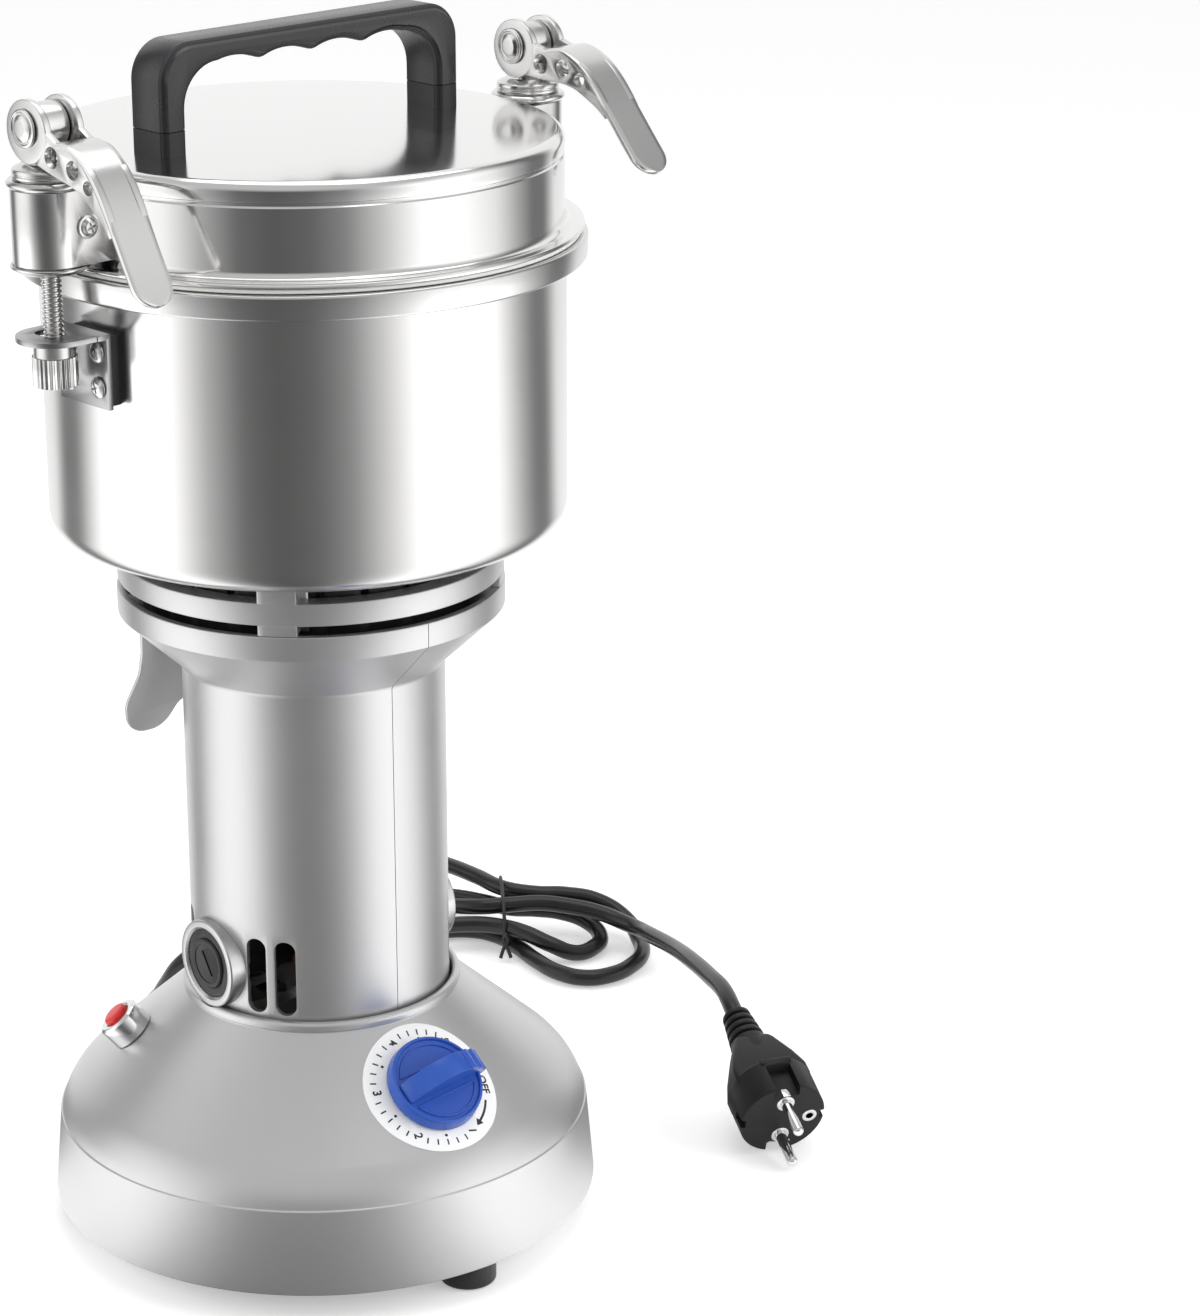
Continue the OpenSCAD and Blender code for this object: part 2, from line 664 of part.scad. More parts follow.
module field_windings() color([0.70, 0.36, 0.16]) base_frame() {
    for (s = sides) translate([0, s * window_y, stator_z - winding_up])
        for (x = [-winding_w / 2 + 0.5, winding_w / 2 - winding_leg - 0.5])
            translate([x, -window_h / 2 + 0.4, 0])
                cube([winding_leg, window_h - 0.8, stack_h + 2 * winding_up]);
    for (z = [stator_z - winding_up, stator_z + stack_h + 0.5], s = sides)
        translate([s * (winding_w / 2 - 0.5 - winding_leg / 2), 0, z])
            translate([-winding_leg / 2, -window_y - window_h / 2 + 0.4, 0])
                cube([winding_leg, 2 * window_y + window_h - 0.8, winding_up - 0.5]);
}
winding_up = 5;
winding_leg = 9;

// Stepped shaft from the lower bearing to the blade nut.
module rotor_shaft() color([0.72, 0.72, 0.74]) rotate_extrude() polygon([
    [0, low_bearing_z - 2], [shaft_low_d / 2, low_bearing_z - 2],
    [shaft_low_d / 2, low_bearing_z + low_bearing[2] + 0.5],
    [shaft_d / 2, low_bearing_z + low_bearing[2] + 0.5], [shaft_d / 2, blade_z],
    [thread_d / 2, blade_z], [thread_d / 2, shaft_end - 1], [thread_d / 2 - 1, shaft_end],
    [0, shaft_end]]);
shaft_end = blade_z + 2 * blade_t + spacer_h + hex_h + 3;

// Laminated stack with winding slots.
module armature() color([0.32, 0.32, 0.35]) translate([0, 0, stator_z + 0.5]) difference() {
    cylinder(d = armature_d, h = stack_h - 1);
    translate([0, 0, -1]) cylinder(d = shaft_d, h = stack_h + 2);
    for (i = [0:slot_count - 1]) rotate(360 * i / slot_count)
        translate([armature_d / 2 - 8, -1.25, -1]) cube([10, 2.5, stack_h + 2]);
}
slot_count = 12;

module armature_windings() color([0.72, 0.38, 0.18])
    for (z = [[stator_z + 0.5, -1], [stator_z + stack_h - 0.5, 1]])
        translate([0, 0, z[0]]) mirror([0, 0, z[1] < 0 ? 1 : 0]) rotate_extrude() polygon([
            [shaft_d / 2 + 0.2, 0], [armature_d / 2 - 1.5, 0], [armature_d / 2 - 2.5, 5],
            [armature_d / 2 - 7, 8], [shaft_d / 2 + 0.2, 8]]);

module commutator() color([0.78, 0.50, 0.25]) translate([0, 0, brush_z - commutator_h / 2])
    difference() {
        cylinder(d = commutator_d, h = commutator_h);
        translate([0, 0, -1]) cylinder(d = shaft_d, h = commutator_h + 2);
        for (i = [0:bar_count - 1]) rotate(360 * i / bar_count)
            translate([commutator_d / 2 - 1, -0.3, -1]) cube([2, 0.6, commutator_h + 2]);
    }
bar_count = 24;

// Radial fan: hub, disc and curved vanes.
module cooling_fan() color([0.10, 0.10, 0.11]) translate([0, 0, fan_z]) difference() {
    union() {
        cylinder(r = fan_r, h = 2);
        cylinder(d = shaft_d + 12, h = fan_h);
        intersection() {
            cylinder(r = fan_r, h = fan_h - 4);
            for (i = [0:vane_count - 1]) rotate(360 * i / vane_count)
                translate([shaft_d / 2 + 4, vane_arc, 0]) difference() {
                    cylinder(r = vane_arc, h = fan_h - 4);
                    translate([0, 0, -1]) cylinder(r = vane_arc - 1.6, h = fan_h);
                    translate([-100, -vane_arc * 0.2, -1]) cube([200, 200, fan_h]);
                    translate([-100, -100, -1]) cube([100, 200, fan_h]);
                }
        }
    }
    translate([0, 0, -1]) cylinder(d = shaft_d, h = fan_h + 2);
}
vane_count = 11;
vane_arc = 45;

// ---------- Ventilation ring, bowl and blades ----------
// Motor top casting: the ring with its spacer blocks, arms and upper bearing hub.
module grille_ring() color([0.70, 0.71, 0.73]) difference() {
    union() {
        translate([0, 0, ring_z]) tube(band_d - 0.8, 2 * (band_r - 7), ring_h);
        for (a = post_dirs) rotate(a) {
            intersection() {
                translate([post_r - post_d / 2, -block_w / 2, band_top])
                    cube([post_d + 4, block_w, bowl_z - band_top]);
                cylinder(r = band_r - 0.1, h = 400);
            }
            translate([hub_r - 3, -block_w / 2, ring_z])
                cube([post_r - hub_r, block_w, ring_h - 1]);
        }
        translate([0, 0, hub_z]) cylinder(r = hub_r, h = bowl_z - 10 - hub_z);
    }
    for (a = post_dirs) rotate(a) translate([post_r, 0, band_top - 1])
        cylinder(d = bowl_screw_d + 2 * seat_gap, h = 60);
    translate([0, 0, hub_z - 1]) cylinder(d = top_bearing[0], h = top_bearing_z + top_bearing[2]
        - hub_z + 1);
    translate([0, 0, hub_z]) cylinder(d = top_bearing[0] - 5, h = 60);
}

// Air guide behind the ring, slotted all round and notched for the arms.
module vent_sleeve() color([0.07, 0.07, 0.08]) difference() {
    translate([0, 0, sleeve_low]) tube(2 * sleeve_out, 2 * sleeve_out - 4, bowl_z - sleeve_low);
    for (a = post_dirs) rotate(a) translate([sleeve_out - 10, -block_w / 2 - 0.5, ring_z - 0.5])
        cube([20, block_w + 1, ring_h + 50]);
    for (i = [0:guide_slots - 1]) rotate(360 * (i + 0.5) / guide_slots)
        translate([sleeve_out - 5, -1.5, ring_z - 2]) cube([10, 3, ring_h + 6]);
}
sleeve_low = band_z + 2;
sleeve_out = post_r - post_d / 2 - 0.5;
guide_slots = 24;

bowl_in = bowl_r - bowl_wall;
module bowl() color([0.78, 0.78, 0.80]) difference() {
    union() {
        rotate_extrude() polygon(concat(
            [[0, bowl_z]], arc([bowl_r - bowl_corner, bowl_z + bowl_corner], bowl_corner, -90, 0, 10),
            [[bowl_r, rim_z - rim_h], [rim_r - 0.6, rim_z - rim_h], [rim_r, rim_z - rim_h + 0.6],
            [rim_r, rim_z - 0.6], [rim_r - 0.6, rim_z], [bowl_in, rim_z]],
            arc([bowl_r - bowl_corner, bowl_z + bowl_corner], bowl_corner - bowl_wall, 0, -90, 10),
            [[0, floor_z]]));
    }
    translate([0, 0, bowl_z - 1]) cylinder(d = seal_d + 2 * seat_gap, h = 10);
    for (a = post_dirs) rotate(a) translate([post_r, 0, bowl_z - 1])
        cylinder(d = bowl_screw_d + 2 * seat_gap, h = 10);
    for (s = sides, y = [-rivet_y, rivet_y], z = rivet_z) translate([s * (bowl_r - 8), y, z])
        rotate([0, 90, 0]) cylinder(d = rivet_d + 2 * seat_gap, h = 20, center = true);
}
seal_d = 22;

module bowl_screws() color([0.75, 0.75, 0.77]) for (a = post_dirs) rotate(a)
    translate([post_r, 0, floor_z]) {
        cylinder(d1 = 9, d2 = 6.5, h = 2);
        translate([0, 0, -bowl_wall - bowl_z + band_top - 9])
            cylinder(d = bowl_screw_d, h = bowl_wall + bowl_z - band_top + 9 + eps);
    }

module shaft_seal() color([0.85, 0.85, 0.83]) translate([0, 0, bowl_z - 7]) difference() {
    union() {
        cylinder(d = seal_d, h = 7 + bowl_wall + 2);
        translate([0, 0, 7 + bowl_wall]) cylinder(d1 = seal_d + 10, d2 = seal_d + 4, h = 4);
    }
    translate([0, 0, -1]) cylinder(d = shaft_d + 2 * run_fit, h = 30);
}

// One blade: a flat bar with ground edges, its tips bent up or down.
module blade_bar(bend) difference() {
    union() {
        cylinder(d = 26, h = blade_t);
        for (s = sides) rotate(s > 0 ? 0 : 180) {
            linear_extrude(blade_t) polygon([[0, -11], [blade_reach * 0.72, -8],
                [blade_reach * 0.72, 6], [0, 11]]);
            translate([blade_reach * 0.72, 0, blade_t / 2]) rotate([0, -bend, 0])
                translate([-1, 0, -blade_t / 2]) linear_extrude(blade_t)
                    polygon([[0, -8], [blade_reach * 0.26, -3], [blade_reach * 0.26, 3], [0, 6]]);
        }
    }
    translate([0, 0, -20]) cylinder(d = thread_d, h = 40);
}
module blades() color([0.80, 0.80, 0.82]) {
    translate([0, 0, blade_z]) blade_bar(12);
    translate([0, 0, blade_z + blade_t + spacer_h]) rotate(80) blade_bar(30);
}

module blade_nut() color([0.76, 0.76, 0.78]) {
    translate([0, 0, blade_z + blade_t]) tube(18, thread_d, spacer_h);
    translate([0, 0, blade_z + 2 * blade_t + spacer_h]) difference() {
        cylinder(d = 19, h = hex_h, $fn = 6);
        translate([0, 0, -1]) cylinder(d = thread_d, h = hex_h + 2);
    }
}

// ---------- Clamp ears on the bowl ----------
// Bent plate with a rounded ear for the clamp rod; the right one is open to the back.
module ear(open) difference() {
    union() {
        translate([ear_face, -ear_w / 2, ear_z + ear_t - ear_h]) cube([ear_t, ear_w, ear_h]);
        translate([ear_face, -ear_w / 2, ear_z]) cube([6, ear_w, ear_t]);
        translate([clamp_x, 0, ear_z]) cylinder(r = ear_end, h = ear_t);
        translate([ear_face, -ear_end, ear_z]) cube([clamp_x - ear_face, 2 * ear_end, ear_t]);
    }
    translate([clamp_x, 0, ear_z - 1]) cylinder(d = rod_d + 2 * ear_slack, h = ear_t + 2);
    translate([clamp_x - rod_d / 2 - ear_slack, 0, ear_z - 1])
        cube([rod_d + 2 * ear_slack, open ? 40 : ear_hole_l, ear_t + 2]);
    translate([clamp_x, ear_hole_l, ear_z - 1])
        cylinder(d = rod_d + 2 * ear_slack, h = ear_t + 2);
    for (y = [-rivet_y, rivet_y], z = rivet_z) translate([ear_face - 1, y, z]) rotate([0, 90, 0])
        cylinder(d = rivet_d + 2 * seat_gap, h = 10);
}
ear_slack = 0.8;
ear_hole_l = 4;

module ears() color([0.74, 0.74, 0.76]) {
    mirror([1, 0, 0]) ear(false);
    ear(true);
}

module ear_pads() color([0.09, 0.09, 0.10]) for (s = sides) difference() {
    translate([s > 0 ? bowl_r - 5 : -ear_face, -pad_w / 2, ear_z + ear_t - ear_h + 1])
        cube([ear_face - bowl_r + 5, pad_w, ear_h - 2.5]);
    cylinder(r = bowl_r, h = 600);
    for (y = [-rivet_y, rivet_y], z = rivet_z) translate([s * bowl_r, y, z]) rotate([0, 90, 0])
        cylinder(d = rivet_d + 2 * seat_gap, h = 30, center = true);
}
pad_w = 27;

module ear_rivets() color([0.80, 0.80, 0.82]) for (s = sides, y = [-rivet_y, rivet_y], z = rivet_z)
    translate([s * (bowl_in - 2.2), y, z]) rotate([0, s * 90, 0]) {
        cylinder(d = rivet_d, h = ear_face + ear_t - bowl_in + 2.2);
        translate([0, 0, ear_face + ear_t - bowl_in + 2.2]) {
            cylinder(d = 8.5, h = 0.8);
            translate([0, 0, 0.8]) cylinder(d1 = 8.5, d2 = 4.5, h = 1.2);
        }
    }

// ---------- Lid ----------
module lid_shell() color([0.80, 0.80, 0.82]) difference() {
    rotate_extrude() polygon(concat(
        [[lid_r - lid_wall, lid_z + gasket_t], [flange_r - 1, lid_z + gasket_t],
        [flange_r, lid_z + gasket_t + 1], [flange_r - 0.5, lid_z + gasket_t + flange_t]],
        arc([lid_r + 3.5, lid_z + gasket_t + flange_t + 3.5], 3.5, -90, -180, 5),
        [[lid_r, lid_top - 10], [lid_r - 0.7, lid_top - 9.3], [lid_r - 0.7, lid_top - 8.3],
        [lid_r, lid_top - 7.6]],
        arc([lid_r - lid_edge, lid_top - lid_edge], lid_edge, 0, 90, 6),
        [[0, lid_top], [0, lid_top - lid_wall]],
        arc([lid_r - lid_edge, lid_top - lid_edge], lid_edge - lid_wall, 90, 0, 4),
        [[lid_r - lid_wall - 0.7, lid_top - 8], [lid_r - lid_wall - 0.7, lid_top - 10],
        [lid_r - lid_wall, lid_top - 11]]));
    for (x = handle_feet) translate([x, 0, lid_top - 5]) cylinder(d = 5.2, h = 10);
    for (s = sides) translate([s * (lid_r - 2), 0, (sleeve_z + collar_z) / 2]) rotate([0, 90, 0])
        cylinder(d = m4 + 2 * seat_gap, h = 10, center = true);
}
handle_feet = [-handle_x + handle_leg / 2, handle_x - handle_leg / 2];

module lid_liner() color([0.76, 0.76, 0.78]) translate([0, 0, lid_z + gasket_t]) {
    cylinder(r = lid_r - lid_wall - seat_gap, h = 1);
    tube(2 * (lid_r - lid_wall - seat_gap), 2 * (lid_r - lid_wall - seat_gap) - 2, 6);
}

module lid_gasket() color([0.85, 0.85, 0.84]) translate([0, 0, lid_z])
    tube(2 * (flange_r - 1.2), 2 * (bowl_in - 2), gasket_t);

// Outline of the handle seen from the front, its edges drawn in by inset.
module handle_outline(inset) difference() {
    union() {
        translate([-handle_x + inset, 0])
            square([handle_l - 2 * inset, handle_h - handle_corner]);
        translate([-handle_x + handle_corner, 0])
            square([handle_l - 2 * handle_corner, handle_h - inset]);
        for (s = sides) translate([s * (handle_x - handle_corner), handle_h - handle_corner])
            circle(r = handle_corner - inset);
    }
    grip_x = handle_x - handle_leg + inset;
    translate([-grip_x, -1]) square([2 * grip_x, 1 + handle_h - grip_top - grip_corner]);
    for (s = sides) translate([s * (grip_x - grip_corner), handle_h - grip_top - grip_corner])
        circle(r = grip_corner + inset / 2);
    translate([-grip_x + grip_corner, -1])
        square([2 * (grip_x - grip_corner), 1 + handle_h - grip_top - 2]);
    intersection() {
        union() for (i = [-1.5:1.5]) translate([i * finger_pitch, handle_h - grip_top - finger_r + 1])
            circle(r = finger_r + inset);
        translate([-grip_x + 6, handle_h - grip_top - 7]) square([2 * grip_x - 12, 20]);
    }
}
grip_top = 9;
grip_corner = 17;
finger_r = 30;

module handle() color([0.19, 0.19, 0.20]) translate([0, 0, lid_top]) difference() {
    rotate([90, 0, 0]) {
        linear_extrude(handle_w - 2 * cove, center = true) handle_outline(0);
        linear_extrude(handle_w, center = true) handle_outline(cove);
    }
    for (x = handle_feet) translate([x, 0, -1]) cylinder(d = 4.2 + 2 * seat_gap, h = 16);
}

module lid_screws() color([0.75, 0.75, 0.77]) {
    for (x = handle_feet) translate([x, 0, lid_top - lid_wall]) mirror([0, 0, 1])
        pan_screw(4.2, 9, 3, lid_wall + 14);
    for (s = sides) translate([s * (lid_r - lid_wall - 2 * seat_gap), 0, (sleeve_z + collar_z) / 2])
        rotate([0, s * -90, 0]) pan_screw(m4, m4_head, m4_head_h, lid_wall + 6);
    clamps() for (s = sides) translate([-sleeve_screw_x, s * sleeve_r, (sleeve_z + collar_z) / 2])
        rotate([s * -90, 0, 0]) {
            cylinder(d = 9, h = 0.8);
            translate([0, 0, 0.8]) pan_screw(m4, m4_head - 1, m4_head_h - 0.8, 8);
        }
}

// ---------- Lid clamps ----------
// Places children on both clamp axes, +X away from the mill.
module clamps() for (s = sides) mirror([s < 0 ? 1 : 0, 0, 0]) translate([clamp_x, 0, 0]) children();

// U-shaped strap round the clamp core, its legs against the lid wall.
module clamp_sleeves() color([0.78, 0.78, 0.80]) clamps() difference() {
    translate([0, 0, sleeve_z]) difference() {
        union() {
            cylinder(r = sleeve_r, h = sleeve_h);
            translate([-sleeve_back, -sleeve_r, 0]) cube([sleeve_back, 2 * sleeve_r, sleeve_h]);
        }
        translate([0, 0, -1]) cylinder(r = sleeve_r - sleeve_t, h = sleeve_h + 2);
        translate([-50, -sleeve_r + sleeve_t, -1])
            cube([50, 2 * (sleeve_r - sleeve_t), sleeve_h + 2]);
    }
    lid_cut();
    for (y = sides) translate([-sleeve_screw_x, y * sleeve_r, (sleeve_z + collar_z) / 2])
        rotate([90, 0, 0]) cylinder(d = m4 + 2 * seat_gap, h = 20, center = true);
}
sleeve_back = clamp_x - lid_r + 4;
sleeve_screw_x = 7.4;
module lid_cut() translate([-clamp_x, 0, 0]) cylinder(r = lid_r, h = 600);

module clamp_cores() color([0.66, 0.66, 0.68]) clamps() difference() {
    translate([0, 0, sleeve_z]) union() {
        cylinder(r = core_r, h = sleeve_h);
        translate([-sleeve_back, -core_r, 0]) cube([sleeve_back, 2 * core_r, sleeve_h]);
    }
    lid_cut();
    translate([0, 0, sleeve_z - 1]) cylinder(d = rod_d + 2 * rod_slack, h = sleeve_h + 2);
    translate([-clamp_x + lid_r - 2, 0, (sleeve_z + collar_z) / 2]) rotate([0, 90, 0])
        cylinder(d = m4 + 2 * seat_gap, h = 9);
    for (y = sides) translate([-sleeve_screw_x, y * sleeve_r, (sleeve_z + collar_z) / 2])
        rotate([90, 0, 0]) cylinder(d = m4 + 2 * seat_gap, h = 17, center = true);
}
rod_slack = 0.4;

// Lipped plates below and above each sleeve.
module clamp_plates() color([0.80, 0.80, 0.82]) clamps() difference() {
    union() {
        translate([0, 0, clamp_plate_z]) cylinder(r1 = clamp_plate_r - 1, r2 = clamp_plate_r,
            h = clamp_plate_t / 2);
        translate([0, 0, clamp_plate_z + clamp_plate_t / 2])
            cylinder(r1 = clamp_plate_r, r2 = clamp_plate_r - 0.6, h = clamp_plate_t / 2);
        translate([0, 0, clamp_plate_z + clamp_plate_t]) cylinder(r = sleeve_r - 2, h = 0.4);
        translate([0, 0, collar_z]) cylinder(r1 = clamp_plate_r - 0.8, r2 = clamp_plate_r + 0.2,
            h = collar_t / 2);
        translate([0, 0, collar_z + collar_t / 2])
            cylinder(r1 = clamp_plate_r + 0.2, r2 = clamp_plate_r - 0.8, h = collar_t / 2);
        translate([0, 0, collar_z - 0.3]) cylinder(r = sleeve_r - 2, h = 0.4);
    }
    translate([0, 0, clamp_plate_z - 1]) cylinder(d = rod_d + 2 * rod_slack, h = 60);
    translate([-clamp_x, 0, 0]) cylinder(r = lid_r, h = 600);
}

module clamp_caps() color([0.84, 0.84, 0.86]) clamps() difference() {
    union() {
        translate([0, 0, collar_z + collar_t]) cylinder(r = cap_r - 2, h = 0.2);
        translate([0, 0, collar_z + collar_t + 0.1])
            cylinder(r = cap_r, h = cap_h - cap_crown + eps);
        translate([0, 0, collar_z + collar_t + 0.1 + cap_h - cap_crown])
            cylinder(r1 = cap_r, r2 = cap_r - 2 * cap_crown, h = cap_crown);
    }
    translate([0, 0, collar_z]) cylinder(d = rod_d + 2 * rod_slack, h = 30);
}

// Threaded rod with an eye for the lever, and the domed pivot pin through it.
module rod(s) translate([s * clamp_x, 0, 0]) {
    difference() {
        union() {
            translate([0, 0, rod_end]) cylinder(d = rod_d, h = pivot_z - rod_end);
            translate([-eye_w / 2, 0, pivot_z]) rotate([0, 90, 0]) cylinder(r = eye_r, h = eye_w);
        }
        translate([-20, 0, pivot_z]) rotate([0, 90, 0]) cylinder(d = pin_d, h = 40);
    }
}
module pin(s) translate([s * clamp_x - lever_w / 2 - pin_side, 0, pivot_z]) rotate([0, 90, 0]) {
    cylinder(d = pin_d, h = lever_w + 2 * pin_side);
    for (e = [0, 1]) translate([0, 0, e * (lever_w + 2 * pin_side)]) mirror([0, 0, 1 - e]) {
        cylinder(d = pin_head_d, h = 0.8);
        translate([0, 0, 0.8]) cylinder(d1 = pin_head_d, d2 = pin_head_d * 0.6, h = 1);
    }
}
pin_side = 0.3;
module rod_left() color([0.76, 0.76, 0.78]) { rod(-1); pin(-1); }
module rod_right() color([0.76, 0.76, 0.78]) { rod(1); pin(1); }

// Lever side view: x towards the handle end, y down, origin at the pivot.
function bezier(p, t) = (1 - t) ^ 3 * p[0] + 3 * (1 - t) ^ 2 * t * p[1]
    + 3 * (1 - t) * t ^ 2 * p[2] + t ^ 3 * p[3];
strap_curve = [[18, 3], [40, 1], [45, 23], [66, 57]];
strap_t = 2.5;
strap_steps = 14;
strap_top = [for (i = [0:strap_steps]) bezier(strap_curve, i / strap_steps)];
strap_low = [for (i = [0:strap_steps]) let (a = strap_top[max(i - 1, 0)],
    b = strap_top[min(i + 1, strap_steps)], d = unit(b - a)) strap_top[i] + strap_t * [-d.y, d.x]];
cam_c = cam_e * [sin(cam_ang), cos(cam_ang)];
cheek_discs = [[cam_c.x, cam_c.y, cam_r], [15.7, 8.7, 6.2], [28.2, 11.6, 6.3], [37, 16.9, 5],
    [46.5, 27.5, 2.2]];
cheek_holes = [[15.7, 8.7, 8.1], [28.2, 11.6, 7.2], [37, 16.9, 5.4]];

// Disc a and disc b, joined just inside their outer tangents.
link_in = 0.97;
module link(a, b) {
    d = [b.x - a.x, b.y - a.y];
    dir = atan2(d.y, d.x);
    turn = acos((a.z - b.z) / norm(d));
    for (q = [a, b]) translate([q.x, q.y]) circle(r = q.z);
    polygon([for (s = [[a, 1], [b, 1], [b, -1], [a, -1]])
        [s[0].x, s[0].y] + link_in * s[0].z * [cos(dir + s[1] * turn), sin(dir + s[1] * turn)]]);
}
module cheek_outline() difference() {
    for (i = [0:len(cheek_discs) - 2]) link(cheek_discs[i], cheek_discs[i + 1]);
    circle(d = pin_d + 2 * run_fit);
    for (h = cheek_holes) translate([h.x, h.y]) circle(d = h.z);
}
// Side view turned into place: x of the outline goes to -Y, its y goes down.
module lever(s, raise) translate([s * clamp_x, 0, pivot_z]) rotate([-raise, 0, 0])
    difference() {
        union() {
            for (x = [-lever_w / 2, lever_w / 2 - cheek_t]) translate([x, 0, 0])
                rotate([90, 180, 90]) linear_extrude(cheek_t) cheek_outline();
            translate([-lever_w / 2, 0, 0]) rotate([90, 180, 90]) linear_extrude(lever_w)
                polygon(concat(strap_top, flip(strap_low)));
        }
        translate([0, -strap_top[strap_steps].x, -strap_top[strap_steps].y]) rotate([tip_lean, 0, 0])
            tip_cut();
    }
// Rounds the free end of the strap in plan.
module tip_cut() difference() {
    translate([-lever_w, -20, -10]) cube([2 * lever_w, lever_w / 2 + 20, 20]);
    translate([0, lever_w / 2, -11]) cylinder(d = lever_w, h = 22);
}
tip_lean = 58;
module lever_left() color([0.78, 0.78, 0.80]) lever(-1, 0);
module lever_right() color([0.78, 0.78, 0.80]) lever(1, right_lever_raise);

// Knurled nut below the ear, with a plain collar.
module nut(s) translate([s * clamp_x, 0, nut_z - nut_h]) difference() {
    union() {
        linear_extrude(nut_h - nut_collar_h) polygon([for (i = [0:2 * nut_ridges - 1])
            let (r = nut_d / 2 - (i % 2) * 0.7, a = 180 * i / nut_ridges) r * [cos(a), sin(a)]]);
        translate([0, 0, nut_h - nut_collar_h]) cylinder(d = nut_d - 1.5, h = nut_collar_h);
    }
    translate([0, 0, -1]) cylinder(d = rod_d + 2 * run_fit, h = nut_h + 2);
}
module nut_left() color([0.76, 0.76, 0.78]) nut(-1);
module nut_right() color([0.76, 0.76, 0.78]) nut(1);

// ---------- Cord ----------
// Level way out through the cone. The relief is moulded with its tip 34 mm outside.
cord_dir = 72;
cord_at_r = 98;
gland_d = 13;
relief_l = 34;
relief_in = 14;
relief_tip_r = cord_d / 2 + 1;
cord_way_dir = [cos(cord_dir + base_turn), sin(cord_dir + base_turn), 0];
cord_out = cord_at_r * cord_way_dir + [0, 0, cone_z(cord_at_r)];
module cord_way() translate(cord_out) rotate([0, 90, cord_dir + base_turn]) children();

// Sheet hook under the collar that the cord is wound on.
module cord_hook() color([0.70, 0.71, 0.73]) difference() {
    intersection() {
        rotate([90, 0, 0]) translate([0, 0, -150]) linear_extrude(150) {
            translate([-hook_w / 2, hook_z]) square([hook_w, 60]);
            for (s = sides) translate([s * (hook_w / 2 - 3), hook_z]) circle(r = hook_end_r);
            translate([-hook_w / 2, hook_z - 3]) square([hook_w, 10]);
        }
        rotate([90, 0, 90]) translate([0, 0, -100]) linear_extrude(200) polygon([
            [hook_y, hook_z + 60], [hook_y, hook_z + 6], [hook_y + 5, hook_z - 15],
            [hook_y + 5 + hook_t, hook_z - 15], [hook_y + hook_t, hook_z + 6],
            [hook_y + hook_t, hook_z + 60]]);
    }
    rotate_extrude() polygon([[0, funnel_z], [column_r + 0.6, funnel_z], [band_r - 0.8, band_z],
        [band_r - 0.8, band_z + 100], [0, band_z + 100]]);
    translate([-200, 0, band_z]) cube([400, 200, 100]);
}
hook_y = 68;
hook_t = 1.5;
hook_w = 70;
hook_z = 235;
hook_end_r = 10;

// Tapered strain relief of the cord.
module strain_relief() color([0.07, 0.07, 0.08]) cord_way() rotate_extrude() polygon([
    [0, -relief_in], [gland_d / 2, -relief_in], [gland_d / 2, 2], [relief_tip_r, relief_l],
    [0, relief_l]]);

// Middle of the tie, on the floor, and direction of the hank.
tie_at = [231, 139, 0];
hank_dir = -40;
hank_h = 24;
hank_gap = 0.1;
hank_discs = [[-92, 34, 40], [-21, 34, 30], [6, 13, 18], [54, 2, 18], [47, -30, 17], [14, -2, 10]];
hank_eye = [38, -21, 11];
lead_route = [[54, 131, 62], [55, 143, 57], [54, 154, 49], [52, 165, 39], [52, 174, 28],
    [54, 184, 17], [59, 195, 9], [67, 204, 5], [77, 210, 4.2], [91, 215, 4.2],
    [105, 221, 4.2], [119, 229, 5], [131, 240, 8], [144, 261, 10], [171, 276, 12],
    [202, 278, 14], [230, 268, 15], [247, 248, 17], [255, 226, 19], [255, 202, 20],
    [253, 184, 19]];
tail_route = [[270, 104, 15], [276, 86, 15], [268, 69, 19], [252, 38, 27], [232, 6, 36],
    [215, -22, 42], [204, -41, 44.5]];
// Heading of the plug, its length behind the face, and the middle of its face.
plug_heading = 243.3;
plug_l = 66;
plug_at = [165, -114.5, plug_d / 2 * cos(plug_tilt) + 0.3];
plug_dir = [cos(plug_heading) * cos(plug_tilt), sin(plug_heading) * cos(plug_tilt), -sin(plug_tilt)];
pin_space = 19;
plug_pin_d = 4.8;
plug_pin_l = 19;
tie_t = 1.5;
tie_w = 39;

// Bundle of turns drawn as discs joined by straight runs, with the gap inside the short loop.
module hank_block(h) difference() {
    union() {
        for (i = [0:len(hank_discs) - 2])
            linear_extrude(h) link(hank_discs[i], hank_discs[i + 1]);
        linear_extrude(h) link(hank_discs[2], hank_discs[5]);
    }
    translate([hank_eye.x, hank_eye.y, -1]) cylinder(r = hank_eye.z, h = h + 2);
}
module cord_frame() translate(tie_at) rotate(hank_dir) children();
function run_out(p, d) = [p, p + 3 * d];
module cord_lead() color([0.06, 0.06, 0.07])
    sweep(concat(run_out(cord_out + relief_l * cord_way_dir, cord_way_dir), lead_route), cord_d, 10);
module cord_hank() color([0.06, 0.06, 0.07]) cord_frame() translate([0, 0, hank_gap])
    hank_block(hank_h);
module cord_tail() color([0.06, 0.06, 0.07])
    sweep(concat(tail_route, flip(run_out(plug_at - plug_l * plug_dir, -plug_dir))), cord_d, 10);
module cord_tie() color([0.03, 0.03, 0.03]) cord_frame() difference() {
    translate([2, 13 - tie_w / 2, hank_gap]) cube([3, tie_w, hank_h + tie_t]);
    translate([0, 0, hank_gap - 1]) hank_block(hank_h + 1);
}

